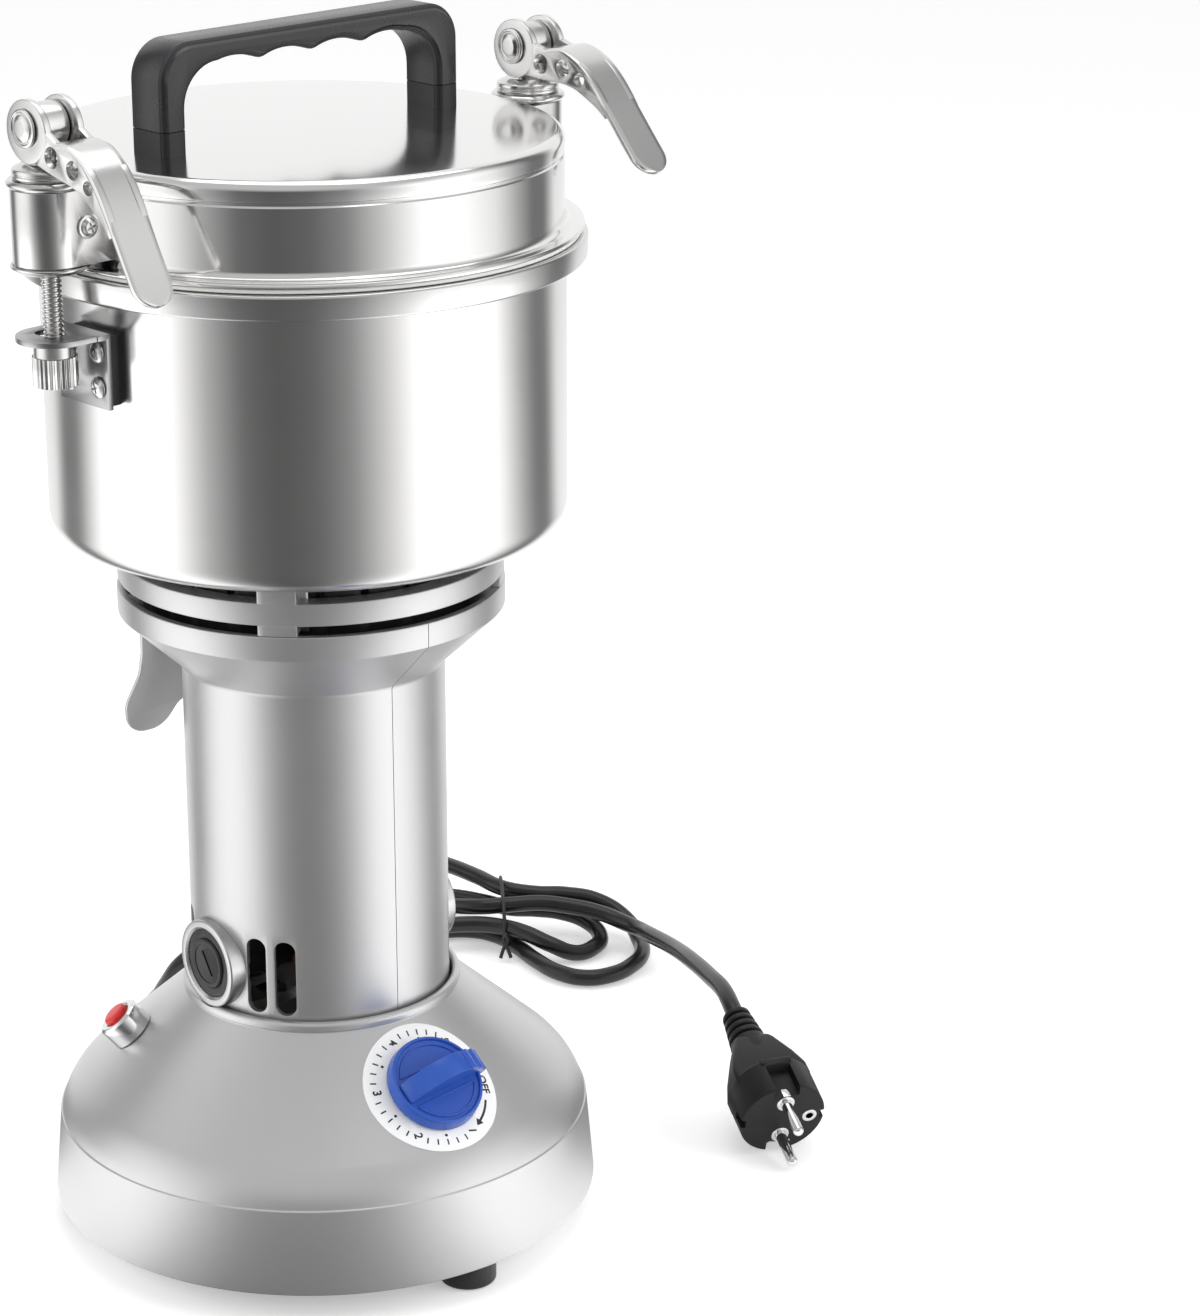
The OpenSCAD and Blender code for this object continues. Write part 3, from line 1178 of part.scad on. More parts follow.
// Places children in the plug's frame: +Z along the pins, +X down, origin on the face.
module plug_frame() translate(plug_at) rotate([0, 90 + plug_tilt, plug_heading]) children();
module plug_body() color([0.06, 0.06, 0.07]) plug_frame() difference() {
    rotate_extrude() polygon([[0, -plug_l], [cord_d / 2 + 1.5, -plug_l], [8, -plug_l + 26],
        [11, -plug_l + 32], [14, -24], [plug_d / 2 - 1.5, -20], [plug_d / 2, -18],
        [plug_d / 2, -0.8], [plug_d / 2 - 0.8, 0], [0, 0]]);
    for (s = sides) translate([-4, s * plug_d / 2 - 2.6, -16]) cube([8, 5.2, 20]);
    translate([0, 12, -8]) cylinder(d = 5, h = 10);
    for (s = sides) translate([s * pin_space / 2, 0, -6])
        cylinder(d = plug_pin_d + 2 * seat_gap, h = 10);
}
module plug_pins() color([0.82, 0.82, 0.84]) plug_frame() for (s = sides)
    translate([s * pin_space / 2, 0, 0]) {
        translate([0, 0, -6]) cylinder(d = plug_pin_d, h = plug_pin_l + 6 - plug_pin_d / 2);
        translate([0, 0, plug_pin_l - plug_pin_d / 2]) sphere(d = plug_pin_d);
    }

base_shell();
base_plate();
rubber_feet();
base_screws();
dial_plate();
timer_body();
timer_knob();
timer_shaft();
reset_bezel();
breaker_body();
reset_button();
column_left();
column_right();
brush_bezels();
brush_holders();
brush_caps();
carbon_brushes();
brush_springs();
lower_bracket();
bearings();
stator_core();
field_windings();
rotor_shaft();
armature();
armature_windings();
commutator();
cooling_fan();
grille_ring();
vent_sleeve();
bowl();
bowl_screws();
shaft_seal();
blades();
blade_nut();
ears();
ear_pads();
ear_rivets();
lid_shell();
lid_liner();
lid_gasket();
handle();
lid_screws();
clamp_sleeves();
clamp_cores();
clamp_plates();
clamp_caps();
rod_left();
rod_right();
lever_left();
lever_right();
nut_left();
nut_right();
cord_hook();
strain_relief();
cord_lead();
cord_hank();
cord_tail();
cord_tie();
plug_body();
plug_pins();
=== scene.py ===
import json
import math

import bpy
from mathutils import Euler, Matrix, Vector

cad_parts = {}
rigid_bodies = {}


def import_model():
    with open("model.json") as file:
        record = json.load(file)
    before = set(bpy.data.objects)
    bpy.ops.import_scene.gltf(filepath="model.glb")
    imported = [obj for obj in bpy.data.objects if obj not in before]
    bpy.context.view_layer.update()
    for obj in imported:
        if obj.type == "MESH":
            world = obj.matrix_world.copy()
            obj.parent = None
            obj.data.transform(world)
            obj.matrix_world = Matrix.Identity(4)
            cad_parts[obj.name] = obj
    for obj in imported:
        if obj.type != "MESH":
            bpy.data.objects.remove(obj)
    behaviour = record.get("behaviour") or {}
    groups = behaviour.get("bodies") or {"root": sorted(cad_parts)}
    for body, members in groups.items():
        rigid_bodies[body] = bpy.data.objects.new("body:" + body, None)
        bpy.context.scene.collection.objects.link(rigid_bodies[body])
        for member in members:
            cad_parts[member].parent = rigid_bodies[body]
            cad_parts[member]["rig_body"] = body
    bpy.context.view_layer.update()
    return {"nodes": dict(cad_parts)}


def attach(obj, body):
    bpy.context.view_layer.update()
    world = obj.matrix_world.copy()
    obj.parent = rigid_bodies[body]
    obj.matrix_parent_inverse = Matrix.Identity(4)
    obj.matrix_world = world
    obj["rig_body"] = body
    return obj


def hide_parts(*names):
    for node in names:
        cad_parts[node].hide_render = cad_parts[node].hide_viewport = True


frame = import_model()

# Lengths below are in mm and degrees where they aren't said to be in metres.
MM = 0.001
WELD = 2e-6            # metres within which points are merged
TINY = 1e-6
NEARLY_STRAIGHT = 1.56  # half the angle at a corner, in radians, past which it isn't rounded
BASE_TURN = -5         # of the base's fittings and the column's seam about the upright axis
CONE_SLOPE = 41.2      # of the base's cone
BRUSH_Z = 123.64
COLUMN_LOW = 88.04
COLUMN_R = 54
COLLAR_TOP = 279.74
BOWL_LOW = 304.04
BOWL_TOP = 424.04
LID_TOP = 464.54
PIVOT_Z = 482.54
CLAMP_X = 123.2


# ---------- Camera, light and floor ----------
LENS, SENSOR = 105.05, 36
CAMERA_AT = Vector((-0.9623, -1.1468, 0.760))
AHEAD = Vector((0.6626, 0.6740, -0.3266))
RIGHT = Vector((0.7131, -0.7010, 0.0))
AWAY = Vector((0.7010, 0.7131, 0.0))


def from_camera(right, away, up):
    """Point given as seen from the front of the picture: metres to the right, away and up."""
    return RIGHT * right + AWAY * away + Vector((0, 0, up))


def make_camera():
    lens = bpy.data.cameras.new("camera")
    lens.lens = LENS
    lens.sensor_width = SENSOR
    lens.clip_end = 30
    camera = bpy.data.objects.new("camera", lens)
    camera.location = CAMERA_AT
    camera.rotation_euler = AHEAD.to_track_quat("-Z", "Y").to_euler()
    bpy.context.scene.collection.objects.link(camera)
    bpy.context.scene.camera = camera


def softbox(name, place, target, width, height, watts, mirrored=False):
    """Area lamp that faces the target, seen in reflections only where it is mirrored."""
    lamp = bpy.data.lights.new(name, "AREA")
    lamp.shape = "RECTANGLE"
    lamp.size = width
    lamp.size_y = height
    lamp.energy = watts
    holder = bpy.data.objects.new(name, lamp)
    holder.location = place
    holder.rotation_euler = (target - place).to_track_quat("-Z", "Y").to_euler()
    holder.visible_glossy = mirrored
    bpy.context.scene.collection.objects.link(holder)


def make_lights():
    middle = Vector((0, 0, 0.28))
    softbox("left_box", from_camera(-1.35, -0.45, 0.7), middle, 0.9, 1.3, 9)
    softbox("right_box", from_camera(1.4, -0.3, 0.7), middle, 0.9, 1.3, 10)
    softbox("top_box", from_camera(0.1, 0.25, 1.7), middle, 1.3, 1.1, 6, True)
    softbox("front_box", from_camera(0.2, -1.9, 1.3), middle, 0.8, 0.5, 6)


# Level of the studio round the mill as metal shows it. 0 and 1 lie behind the mill, 0.5 is the
# camera's side, 0.25 the left and 0.75 the right.
STUDIO = [(0.0, 0.72), (0.12, 0.72), (0.15, 0.13), (0.19, 0.13), (0.235, 0.88), (0.29, 1.0),
          (0.345, 0.88), (0.392, 0.345), (0.436, 0.10), (0.478, 0.06), (0.522, 0.085),
          (0.564, 0.19), (0.608, 0.52), (0.655, 1.0), (0.71, 1.0), (0.761, 0.75), (0.80, 0.35),
          (0.833, 0.12), (0.865, 0.12), (0.90, 0.70), (1.0, 0.72)]
STUDIO_LEVEL = 1.45
STUDIO_TURN = 44.5     # brings the ramp's 0.5 to the camera's side
CEILING = 0.42
PAPER, PAPER_GLOW, CARD_GLOW = 0.86, 0.34, 0.6


def studio_round(tree, way):
    """Grey of the studio in a direction from the mill, and how far that points to its ceiling.

    The camera's side turns to ceiling sooner than the far side."""
    turn = tree.nodes.new("ShaderNodeMapping")
    turn.inputs["Rotation"].default_value[2] = math.radians(STUDIO_TURN)
    split = tree.nodes.new("ShaderNodeSeparateXYZ")
    ramp = tree.nodes.new("ShaderNodeValToRGB")
    wire(tree, (way, turn.inputs["Vector"]), (turn.outputs["Vector"], split.inputs["Vector"]))
    toward = math_node(tree, "MULTIPLY", split.outputs["Y"], -1.0)
    angle = math_node(tree, "ARCTAN2", split.outputs["X"], toward)
    at = math_node(tree, "ADD", math_node(tree, "DIVIDE", angle, 2 * math.pi), 0.5)
    stops = ramp.color_ramp
    while len(stops.elements) < len(STUDIO):
        stops.elements.new(0.5)
    for stop, (place_on, grey) in zip(stops.elements, STUDIO):
        stop.position = place_on
        stop.color = (grey, grey, grey, 1)
    tree.links.new(at, ramp.inputs["Fac"])
    rise = math_node(tree, "ADD", split.outputs["Z"], math_node(tree, "MULTIPLY", toward, 0.35))
    return ramp.outputs["Color"], rise


def make_world():
    """Pale and dark walls under a grey ceiling in reflections, and white where the camera looks."""
    world = bpy.data.worlds.new("studio")
    bpy.context.scene.world = world
    bpy.context.scene.view_settings.view_transform = "Standard"
    world.use_nodes = True
    tree = world.node_tree
    tree.nodes.clear()
    walls, rise = studio_round(tree, tree.nodes.new("ShaderNodeTexCoord").outputs["Generated"])
    ceiling = tree.nodes.new("ShaderNodeMapRange")
    ceiling.inputs["From Min"].default_value = 0.38
    ceiling.inputs["From Max"].default_value = 0.8
    blend = tree.nodes.new("ShaderNodeMixRGB")
    blend.inputs["Color2"].default_value = (CEILING, CEILING, CEILING, 1)
    room = tree.nodes.new("ShaderNodeBackground")
    room.inputs["Strength"].default_value = STUDIO_LEVEL
    white = tree.nodes.new("ShaderNodeBackground")
    white.inputs["Color"].default_value = (1, 1, 1, 1)
    rays = tree.nodes.new("ShaderNodeLightPath")
    mix = tree.nodes.new("ShaderNodeMixShader")
    out = tree.nodes.new("ShaderNodeOutputWorld")
    wire(tree, (rise, ceiling.inputs["Value"]), (ceiling.outputs["Result"], blend.inputs["Fac"]),
         (walls, blend.inputs["Color1"]), (blend.outputs["Color"], room.inputs["Color"]),
         (rays.outputs["Is Camera Ray"], mix.inputs["Fac"]), (room.outputs[0], mix.inputs[1]),
         (white.outputs[0], mix.inputs[2]), (mix.outputs[0], out.inputs["Surface"]))


def make_floor():
    """White paper. Metal sees the studio's pale and dark cards on it."""
    clear()
    bpy.ops.mesh.primitive_plane_add(size=14, location=(0, 0, -0.0005))
    floor = bpy.context.object
    floor.name = "floor"
    paper = bpy.data.materials.new("white_paper")
    paper.use_nodes = True
    tree = paper.node_tree
    body = tree.nodes["Principled BSDF"]
    body.inputs["Roughness"].default_value = 0.9
    rays = tree.nodes.new("ShaderNodeLightPath")
    cards, _ = studio_round(tree, tree.nodes.new("ShaderNodeTexCoord").outputs["Object"])
    for socket, plain in (("Base Color", PAPER), ("Emission Color", 1.0)):
        pick = tree.nodes.new("ShaderNodeMixRGB")
        pick.inputs["Color1"].default_value = (plain, plain, plain, 1)
        wire(tree, (rays.outputs["Is Glossy Ray"], pick.inputs["Fac"]),
             (cards, pick.inputs["Color2"]), (pick.outputs["Color"], body.inputs[socket]))
    seen = math_node(tree, "MULTIPLY", rays.outputs["Is Camera Ray"], PAPER_GLOW)
    mirrored = math_node(tree, "MULTIPLY", rays.outputs["Is Glossy Ray"], CARD_GLOW)
    glow = math_node(tree, "ADD", seen, mirrored)
    tree.links.new(glow, body.inputs["Emission Strength"])
    floor.data.materials.append(paper)


# ---------- Modelling helpers ----------
def clear():
    if bpy.context.object and bpy.context.object.mode != "OBJECT":
        bpy.ops.object.mode_set(mode="OBJECT")
    bpy.ops.object.select_all(action="DESELECT")


def only(piece):
    clear()
    piece.select_set(True)
    bpy.context.view_layer.objects.active = piece


def edit(piece, action="SELECT"):
    """Opens the piece's mesh with all or none of it selected."""
    only(piece)
    bpy.ops.object.mode_set(mode="EDIT")
    bpy.ops.mesh.select_all(action=action)


def close_outward():
    """Turns all faces of the open mesh outwards and leaves edit mode."""
    bpy.ops.mesh.select_all(action="SELECT")
    bpy.ops.mesh.normals_make_consistent(inside=False)
    bpy.ops.object.mode_set(mode="OBJECT")


def smooth(piece, angle=40):
    only(piece)
    bpy.ops.object.shade_smooth_by_angle(angle=math.radians(angle))


def finish_with(piece, kind, **values):
    """Adds a modifier with these values and applies it."""
    only(piece)
    modifier = piece.modifiers.new(kind.lower(), kind)
    for key, value in values.items():
        setattr(modifier, key, value)
    bpy.ops.object.modifier_apply(modifier=modifier.name)


def bevelled(piece, width, segments=2, angle=50, **values):
    """Rounds the edges whose faces turn by more than the angle."""
    finish_with(piece, "BEVEL", width=width * MM, segments=segments, limit_method="ANGLE",
                angle_limit=math.radians(angle), **values)


def rounded(corners):
    """Closed outline in metres from corners, each (x, y) or (x, y, radius)."""
    line = []
    for i, corner in enumerate(corners):
        here = Vector(corner[:2])
        radius = corner[2] if len(corner) > 2 else 0
        before = Vector(corners[i - 1][:2]) - here
        after = Vector(corners[(i + 1) % len(corners)][:2]) - here
        if radius <= 0 or min(before.length, after.length) < TINY:
            line.append(here * MM)
            continue
        a, b = before.normalized(), after.normalized()
        half = a.angle(b) / 2
        if half > NEARLY_STRAIGHT:
            line.append(here * MM)
            continue
        reach = min(radius / math.tan(half), before.length * 0.98, after.length * 0.98)
        radius = reach * math.tan(half)
        middle = here + (a + b).normalized() * (radius / math.sin(half))
        start, end = here + a * reach - middle, here + b * reach - middle
        sweep = start.angle_signed(end)
        steps = max(3, int(abs(sweep) * radius ** 0.5 * 3.2) + 1)
        for k in range(steps + 1):
            c, s = math.cos(-sweep * k / steps), math.sin(-sweep * k / steps)
            line.append((middle + Vector((start.x * c - start.y * s, start.x * s + start.y * c))) * MM)
    return line


def ring_of(name, line, fill="NOTHING"):
    """Circle primitive whose points are moved to the outline, x across and y up."""
    clear()
    bpy.ops.mesh.primitive_circle_add(vertices=len(line), radius=0.05, fill_type=fill)
    piece = bpy.context.object
    piece.name = name
    for vertex, point in zip(piece.data.vertices, line):
        vertex.co = (point.x, 0, point.y)
    return piece


def spun(name, corners, steps=160, at=(0, 0)):
    """Turned piece: the closed outline (radius, height) spun round the upright axis through at."""
    piece = ring_of(name, rounded(corners))
    edit(piece)
    bpy.ops.mesh.spin(steps=steps, angle=2 * math.pi, center=(0, 0, 0), axis=(0, 0, 1))
    bpy.ops.mesh.select_all(action="SELECT")
    bpy.ops.mesh.remove_doubles(threshold=WELD)
    bpy.ops.mesh.delete_loose(use_verts=True, use_edges=True, use_faces=False)
    close_outward()
    smooth(piece)
    return place(piece, Matrix.Translation((at[0] * MM, at[1] * MM, 0)))


def slab(name, corners, thickness):
    """Outline in the XZ plane, extruded half its thickness to either side."""
    piece = ring_of(name, rounded(corners), "NGON")
    edit(piece)
    bpy.ops.transform.translate(value=(0, -thickness * MM / 2, 0))
    bpy.ops.mesh.extrude_region_move(TRANSFORM_OT_translate={"value": (0, thickness * MM, 0)})
    close_outward()
    return piece


def place(piece, matrix):
    """Moves the mesh, so that the object stays at the origin."""
    piece.data.transform(matrix)
    piece.data.update()
    return piece


def turned_to(point, rx=0, ry=0, rz=0):
    """Frame at a point in mm, turned by degrees about X, then Y, then Z."""
    turn = Euler([math.radians(angle) for angle in (rx, ry, rz)]).to_matrix().to_4x4()
    return Matrix.Translation(Vector(point) * MM) @ turn


def copied(piece, matrix):
    """Copy with its own mesh, moved by the matrix."""
    twin = bpy.data.objects.new(piece.name, piece.data.copy())
    bpy.context.scene.collection.objects.link(twin)
    return place(twin, matrix)


def joined(name, pieces):
    clear()
    for piece in pieces:
        piece.select_set(True)
    bpy.context.view_layer.objects.active = pieces[0]
    if len(pieces) > 1:
        bpy.ops.object.join()
    pieces[0].name = name
    return pieces[0]


def block(low, high, width=0.0, matrix=None):
    """Cuboid between two corners in mm, its edges rounded by width."""
    clear()
    bpy.ops.mesh.primitive_cube_add(size=1)
    piece = bpy.context.object
    low, high = Vector(low) * MM, Vector(high) * MM
    place(piece, Matrix.Translation((low + high) / 2) @ Matrix.Diagonal((*(high - low), 1)))
    if width:
        finish_with(piece, "BEVEL", width=width * MM, segments=2, limit_method="NONE")
        smooth(piece)
    return place(piece, matrix) if matrix else piece


def lofted(name, rings):
    """Closed solid through rings of points in mm, each ring with as many points."""
    clear()
    across = len(rings[0])
    bpy.ops.mesh.primitive_grid_add(x_subdivisions=across, y_subdivisions=len(rings) - 1, size=1)
    piece = bpy.context.object
    piece.name = name
    for i, vertex in enumerate(piece.data.vertices):
        vertex.co = Vector(rings[i // (across + 1)][i % (across + 1) % across]) * MM
    edit(piece)
    bpy.ops.mesh.remove_doubles(threshold=WELD)
    bpy.ops.mesh.fill_holes(sides=0)
    close_outward()
    return piece


def tapered(sections, width):
    """Upright bar through rectangles (height, half x, half y), its edges rounded."""
    rings = [[(x, y, z), (-x, y, z), (-x, -y, z), (x, -y, z)] for z, x, y in sections]
    piece = lofted("taper", rings)
    bevelled(piece, width, 4)
    smooth(piece)
    return piece


def cut(piece, *cutters):
    """Takes each cutter out of the piece and deletes it."""
    for cutter in cutters:
        finish_with(piece, "BOOLEAN", object=cutter, operation="DIFFERENCE", solver="EXACT")
        bpy.data.objects.remove(cutter)
    return piece


def softened(name, node, width, segments=2):
    """Copy of a CAD node with its corners merged and its edges rounded."""
    piece = bpy.data.objects.new(name, frame["nodes"][node].data.copy())
    piece.data.materials.clear()
    bpy.context.scene.collection.objects.link(piece)
    edit(piece)
    bpy.ops.mesh.remove_doubles(threshold=3e-6)
    bpy.ops.mesh.dissolve_limited(angle_limit=math.radians(0.4))
    bpy.ops.object.mode_set(mode="OBJECT")
    if width:
        bevelled(piece, width, segments, 28, miter_outer="MITER_ARC")
    smooth(piece, 38)
    return piece


def dress(piece, body, finish, slot, *nodes):
    """Gives the piece its finish and its body, and hides the nodes that it stands for. The slot is not
    used.
    """
    piece.data.materials.clear()
    piece.data.materials.append(finish)
    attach(piece, body)
    if nodes:
        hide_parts(*nodes)
    return piece


# ---------- Finishes ----------
def new_group(name, inputs, outputs):
    group = bpy.data.node_groups.new(name, "ShaderNodeTree")
    for label, kind, value in inputs:
        socket = group.interface.new_socket(label, in_out="INPUT", socket_type=kind)
        socket.default_value = value
    for label, kind in outputs:
        group.interface.new_socket(label, in_out="OUTPUT", socket_type=kind)
    return group, group.nodes.new("NodeGroupInput"), group.nodes.new("NodeGroupOutput")


COLOUR, NUMBER, VECTOR = "NodeSocketColor", "NodeSocketFloat", "NodeSocketVector"
FINISH_INPUTS = [("Colour", COLOUR, (0.8, 0.8, 0.8, 1)), ("Mottle", NUMBER, 0.05),
                 ("Roughness", NUMBER, 0.4), ("Roughness Mottle", NUMBER, 0.06),
                 ("Grain Height", NUMBER, 0.1), ("Grain Scale", NUMBER, 900.0)]
FINISH_OUTPUTS = [("Colour", COLOUR), ("Roughness", NUMBER), ("Normal", VECTOR)]


def wire(tree, *pairs):
    for output, socket in pairs:
        tree.links.new(output, socket)


def math_node(tree, operation, a, b=None):
    node = tree.nodes.new("ShaderNodeMath")
    node.operation = operation
    for socket, value in zip(node.inputs, (a, b)):
        if value is None:
            continue
        if isinstance(value, (int, float)):
            socket.default_value = value
        else:
            tree.links.new(value, socket)
    return node.outputs[0]


def surface_group(name, turned):
    """Mottled colour and roughness with a fine grain. On turned metal the grain runs in rings."""
    tree, given, out = new_group(name, FINISH_INPUTS, FINISH_OUTPUTS)
    where = tree.nodes.new("ShaderNodeTexCoord").outputs["Object"]
    cloud = tree.nodes.new("ShaderNodeTexNoise")
    cloud.inputs["Scale"].default_value = 28
    cloud.inputs["Detail"].default_value = 4
    tree.links.new(where, cloud.inputs["Vector"])
    grain = tree.nodes.new("ShaderNodeTexNoise")
    grain.inputs["Detail"].default_value = 3
    tree.links.new(given.outputs["Grain Scale"], grain.inputs["Scale"])
    if turned:
        split = tree.nodes.new("ShaderNodeSeparateXYZ")
        tree.links.new(where, split.inputs[0])
        x, y, z = split.outputs
        square = math_node(tree, "ADD", math_node(tree, "MULTIPLY", x, x),
                           math_node(tree, "MULTIPLY", y, y))
        rings = tree.nodes.new("ShaderNodeCombineXYZ")
        wire(tree, (math_node(tree, "SQRT", square), rings.inputs[0]), (z, rings.inputs[1]),
             (math_node(tree, "MULTIPLY", x, 0.02), rings.inputs[2]))
    tree.links.new(rings.outputs[0] if turned else where, grain.inputs["Vector"])
    swing = math_node(tree, "SUBTRACT", cloud.outputs["Fac"], 0.5)
    fine = math_node(tree, "SUBTRACT", grain.outputs["Fac"], 0.5)
    both = math_node(tree, "ADD", swing, math_node(tree, "MULTIPLY", fine, 0.5))
    shade = math_node(tree, "ADD", math_node(tree, "MULTIPLY", both, given.outputs["Mottle"]), 1.0)
    tint = tree.nodes.new("ShaderNodeVectorMath")
    tint.operation = "SCALE"
    wire(tree, (given.outputs["Colour"], tint.inputs[0]), (shade, tint.inputs["Scale"]))
    rough = math_node(tree, "ADD", given.outputs["Roughness"],
                      math_node(tree, "MULTIPLY", both, given.outputs["Roughness Mottle"]))
    bump = tree.nodes.new("ShaderNodeBump")
    bump.inputs["Distance"].default_value = 0.0002
    wire(tree, (grain.outputs["Fac"], bump.inputs["Height"]),
         (given.outputs["Grain Height"], bump.inputs["Strength"]),
         (tint.outputs[0], out.inputs["Colour"]), (rough, out.inputs["Roughness"]),
         (bump.outputs[0], out.inputs["Normal"]))
    return tree


GROUPS = {"cast": surface_group("moulded_surface", False),
          "turned": surface_group("turned_surface", True)}


def finish(name, colour, rough, metal=0.0, group="cast", mottle=0.08, rough_mottle=0.08,
           grain=0.1, scale=900.0, **sockets):
    """Material whose colour, roughness and normal come from a surface group."""
    made = bpy.data.materials.new(name)
    made.use_nodes = True
    tree = made.node_tree
    shader = tree.nodes["Principled BSDF"]
    look = tree.nodes.new("ShaderNodeGroup")
    look.node_tree = GROUPS[group]
    for label, value in (("Colour", (*colour, 1)), ("Mottle", mottle), ("Roughness", rough),
                         ("Roughness Mottle", rough_mottle), ("Grain Height", grain),
                         ("Grain Scale", scale)):
        look.inputs[label].default_value = value
    wire(tree, (look.outputs["Colour"], shader.inputs["Base Color"]),
         (look.outputs["Roughness"], shader.inputs["Roughness"]),
         (look.outputs["Normal"], shader.inputs["Normal"]))
    shader.inputs["Metallic"].default_value = metal
    for label, value in sockets.items():
        shader.inputs[label.replace("_", " ")].default_value = value
    return made


PAINT = finish("silver_paint", (0.58, 0.58, 0.585), 0.36, 0.85, mottle=0.05, grain=0.12, scale=2600)
BASE_PAINT = finish("base_paint", (0.60, 0.60, 0.605), 0.37, 0.8, mottle=0.05, grain=0.12, scale=2600)
RING_PAINT = finish("ring_casting", (0.57, 0.57, 0.575), 0.38, 0.85, mottle=0.06, grain=0.2, scale=1800)
STEEL = finish("satin_stainless", (0.66, 0.655, 0.65), 0.2, 1.0, "turned", 0.05, 0.05, 0.02, 1500)
MIRROR = finish("mirror_lid", (0.78, 0.775, 0.77), 0.13, 1.0, "turned", 0.03, 0.03, 0.01, 1200)
CAST = finish("polished_casting", (0.68, 0.675, 0.67), 0.22, 1.0, mottle=0.05, grain=0.08, scale=620)
PLAIN_STEEL = finish("plain_steel", (0.58, 0.575, 0.57), 0.28, 1.0, mottle=0.08, grain=0.08, scale=900)
BRIGHT = finish("chrome_plate", (0.78, 0.78, 0.79), 0.1, 1.0, mottle=0.03, rough_mottle=0.04, grain=0.02)
# Stainless for the ear plates, painted darker than the bowl's: a painted reflection of the dark studio.
EAR_STEEL_PAINTED_DARK = finish("ear_steel_painted_reflection", (0.40, 0.40, 0.40), 0.3, 1.0, mottle=0.08, grain=0.06, scale=900)
SCREW = finish("zinc_screw", (0.52, 0.52, 0.53), 0.32, 1.0, mottle=0.12)
RUBBER = finish("black_rubber", (0.018, 0.018, 0.019), 0.42, mottle=0.25, grain=0.12, scale=1400)
CABLE = finish("cord_sheath", (0.006, 0.006, 0.0065), 0.3, mottle=0.2, grain=0.06, scale=900)
PLUG_RUBBER = finish("plug_rubber", (0.008, 0.008, 0.0085), 0.42, mottle=0.2, grain=0.2, scale=1300,
                     Specular_IOR_Level=0.3)
SILICONE = finish("silicone", (0.72, 0.72, 0.70), 0.5, mottle=0.05)
BLACK = finish("black_plastic", (0.013, 0.013, 0.014), 0.4, mottle=0.2, grain=0.15, scale=1300)
GRIP = finish("handle_plastic", (0.019, 0.019, 0.021), 0.27, mottle=0.15, grain=0.14, scale=1500)
BLUE = finish("blue_plastic", (0.022, 0.085, 0.42), 0.25, mottle=0.1, grain=0.05, scale=900)
RED = finish("red_plastic", (0.62, 0.02, 0.02), 0.25, mottle=0.1, grain=0.03)
PRINT = finish("dial_print", (0.86, 0.86, 0.86), 0.35, mottle=0.03, grain=0.03)
INK = finish("black_ink", (0.02, 0.02, 0.022), 0.5, mottle=0.2, grain=0.03)
CARBON = finish("carbon", (0.03, 0.03, 0.03), 0.6, mottle=0.3, grain=0.3)
BRASS = finish("brass", (0.60, 0.45, 0.17), 0.3, 1.0, mottle=0.1)
COPPER = finish("enamelled_copper", (0.50, 0.20, 0.07), 0.35, 0.6, mottle=0.3, grain=0.5, scale=700)
SHEETS = finish("sheet_stack", (0.16, 0.16, 0.17), 0.45, 0.7, "turned", 0.2, 0.1, 0.6, 1500)
GREY_CAST = finish("grey_casting", (0.42, 0.425, 0.435), 0.42, 0.9, mottle=0.1, grain=0.3, scale=900)
BRIGHT_STEEL = finish("turned_steel", (0.68, 0.675, 0.67), 0.2, 1.0, mottle=0.05, grain=0.05)

NODE_FINISHES = [
    (PAINT, "base_shell column_left column_right"), (RING_PAINT, "grille_ring cord_hook"),
    (PLAIN_STEEL, "base_plate timer_shaft bearings rotor_shaft blades blade_nut bowl_screws ears"
     " rod_left rod_right nut_left nut_right"),
    (RUBBER, "rubber_feet ear_pads strain_relief plug_body cord_lead cord_hank cord_tail"),
    (SCREW, "base_screws ear_rivets lid_screws"), (PRINT, "dial_plate"), (BLUE, "timer_knob"),
    (BRIGHT, "reset_bezel brush_bezels plug_pins"), (RED, "reset_button"),
    (BLACK, "breaker_body brush_holders brush_caps cooling_fan vent_sleeve cord_tie"),
    (CARBON, "carbon_brushes"), (BRASS, "brush_springs"),
    (GREY_CAST, "lower_bracket timer_body clamp_cores"),
    (SHEETS, "stator_core armature"), (COPPER, "field_windings armature_windings commutator"),
    (STEEL, "bowl lid_liner clamp_sleeves clamp_plates"), (MIRROR, "lid_shell"),
    (CAST, "clamp_caps lever_left lever_right"), (SILICONE, "shaft_seal lid_gasket"),
    (GRIP, "handle"),
]


def finish_nodes():
    for made, names in NODE_FINISHES:
        for name in names.split():
            node = frame["nodes"][name]
            node.data.materials.clear()
            node.data.materials.append(made)


# ---------- Cord and plug ----------
RELIEF_TIP = (0.05158, 0.12151, 0.06676)
RELIEF_WAY = (0.3907, 0.9205, 0.0)
TIE_AT = Vector((0.231, 0.139, 0))
TIE_TURN = math.radians(-40)
CORD_D = 0.008
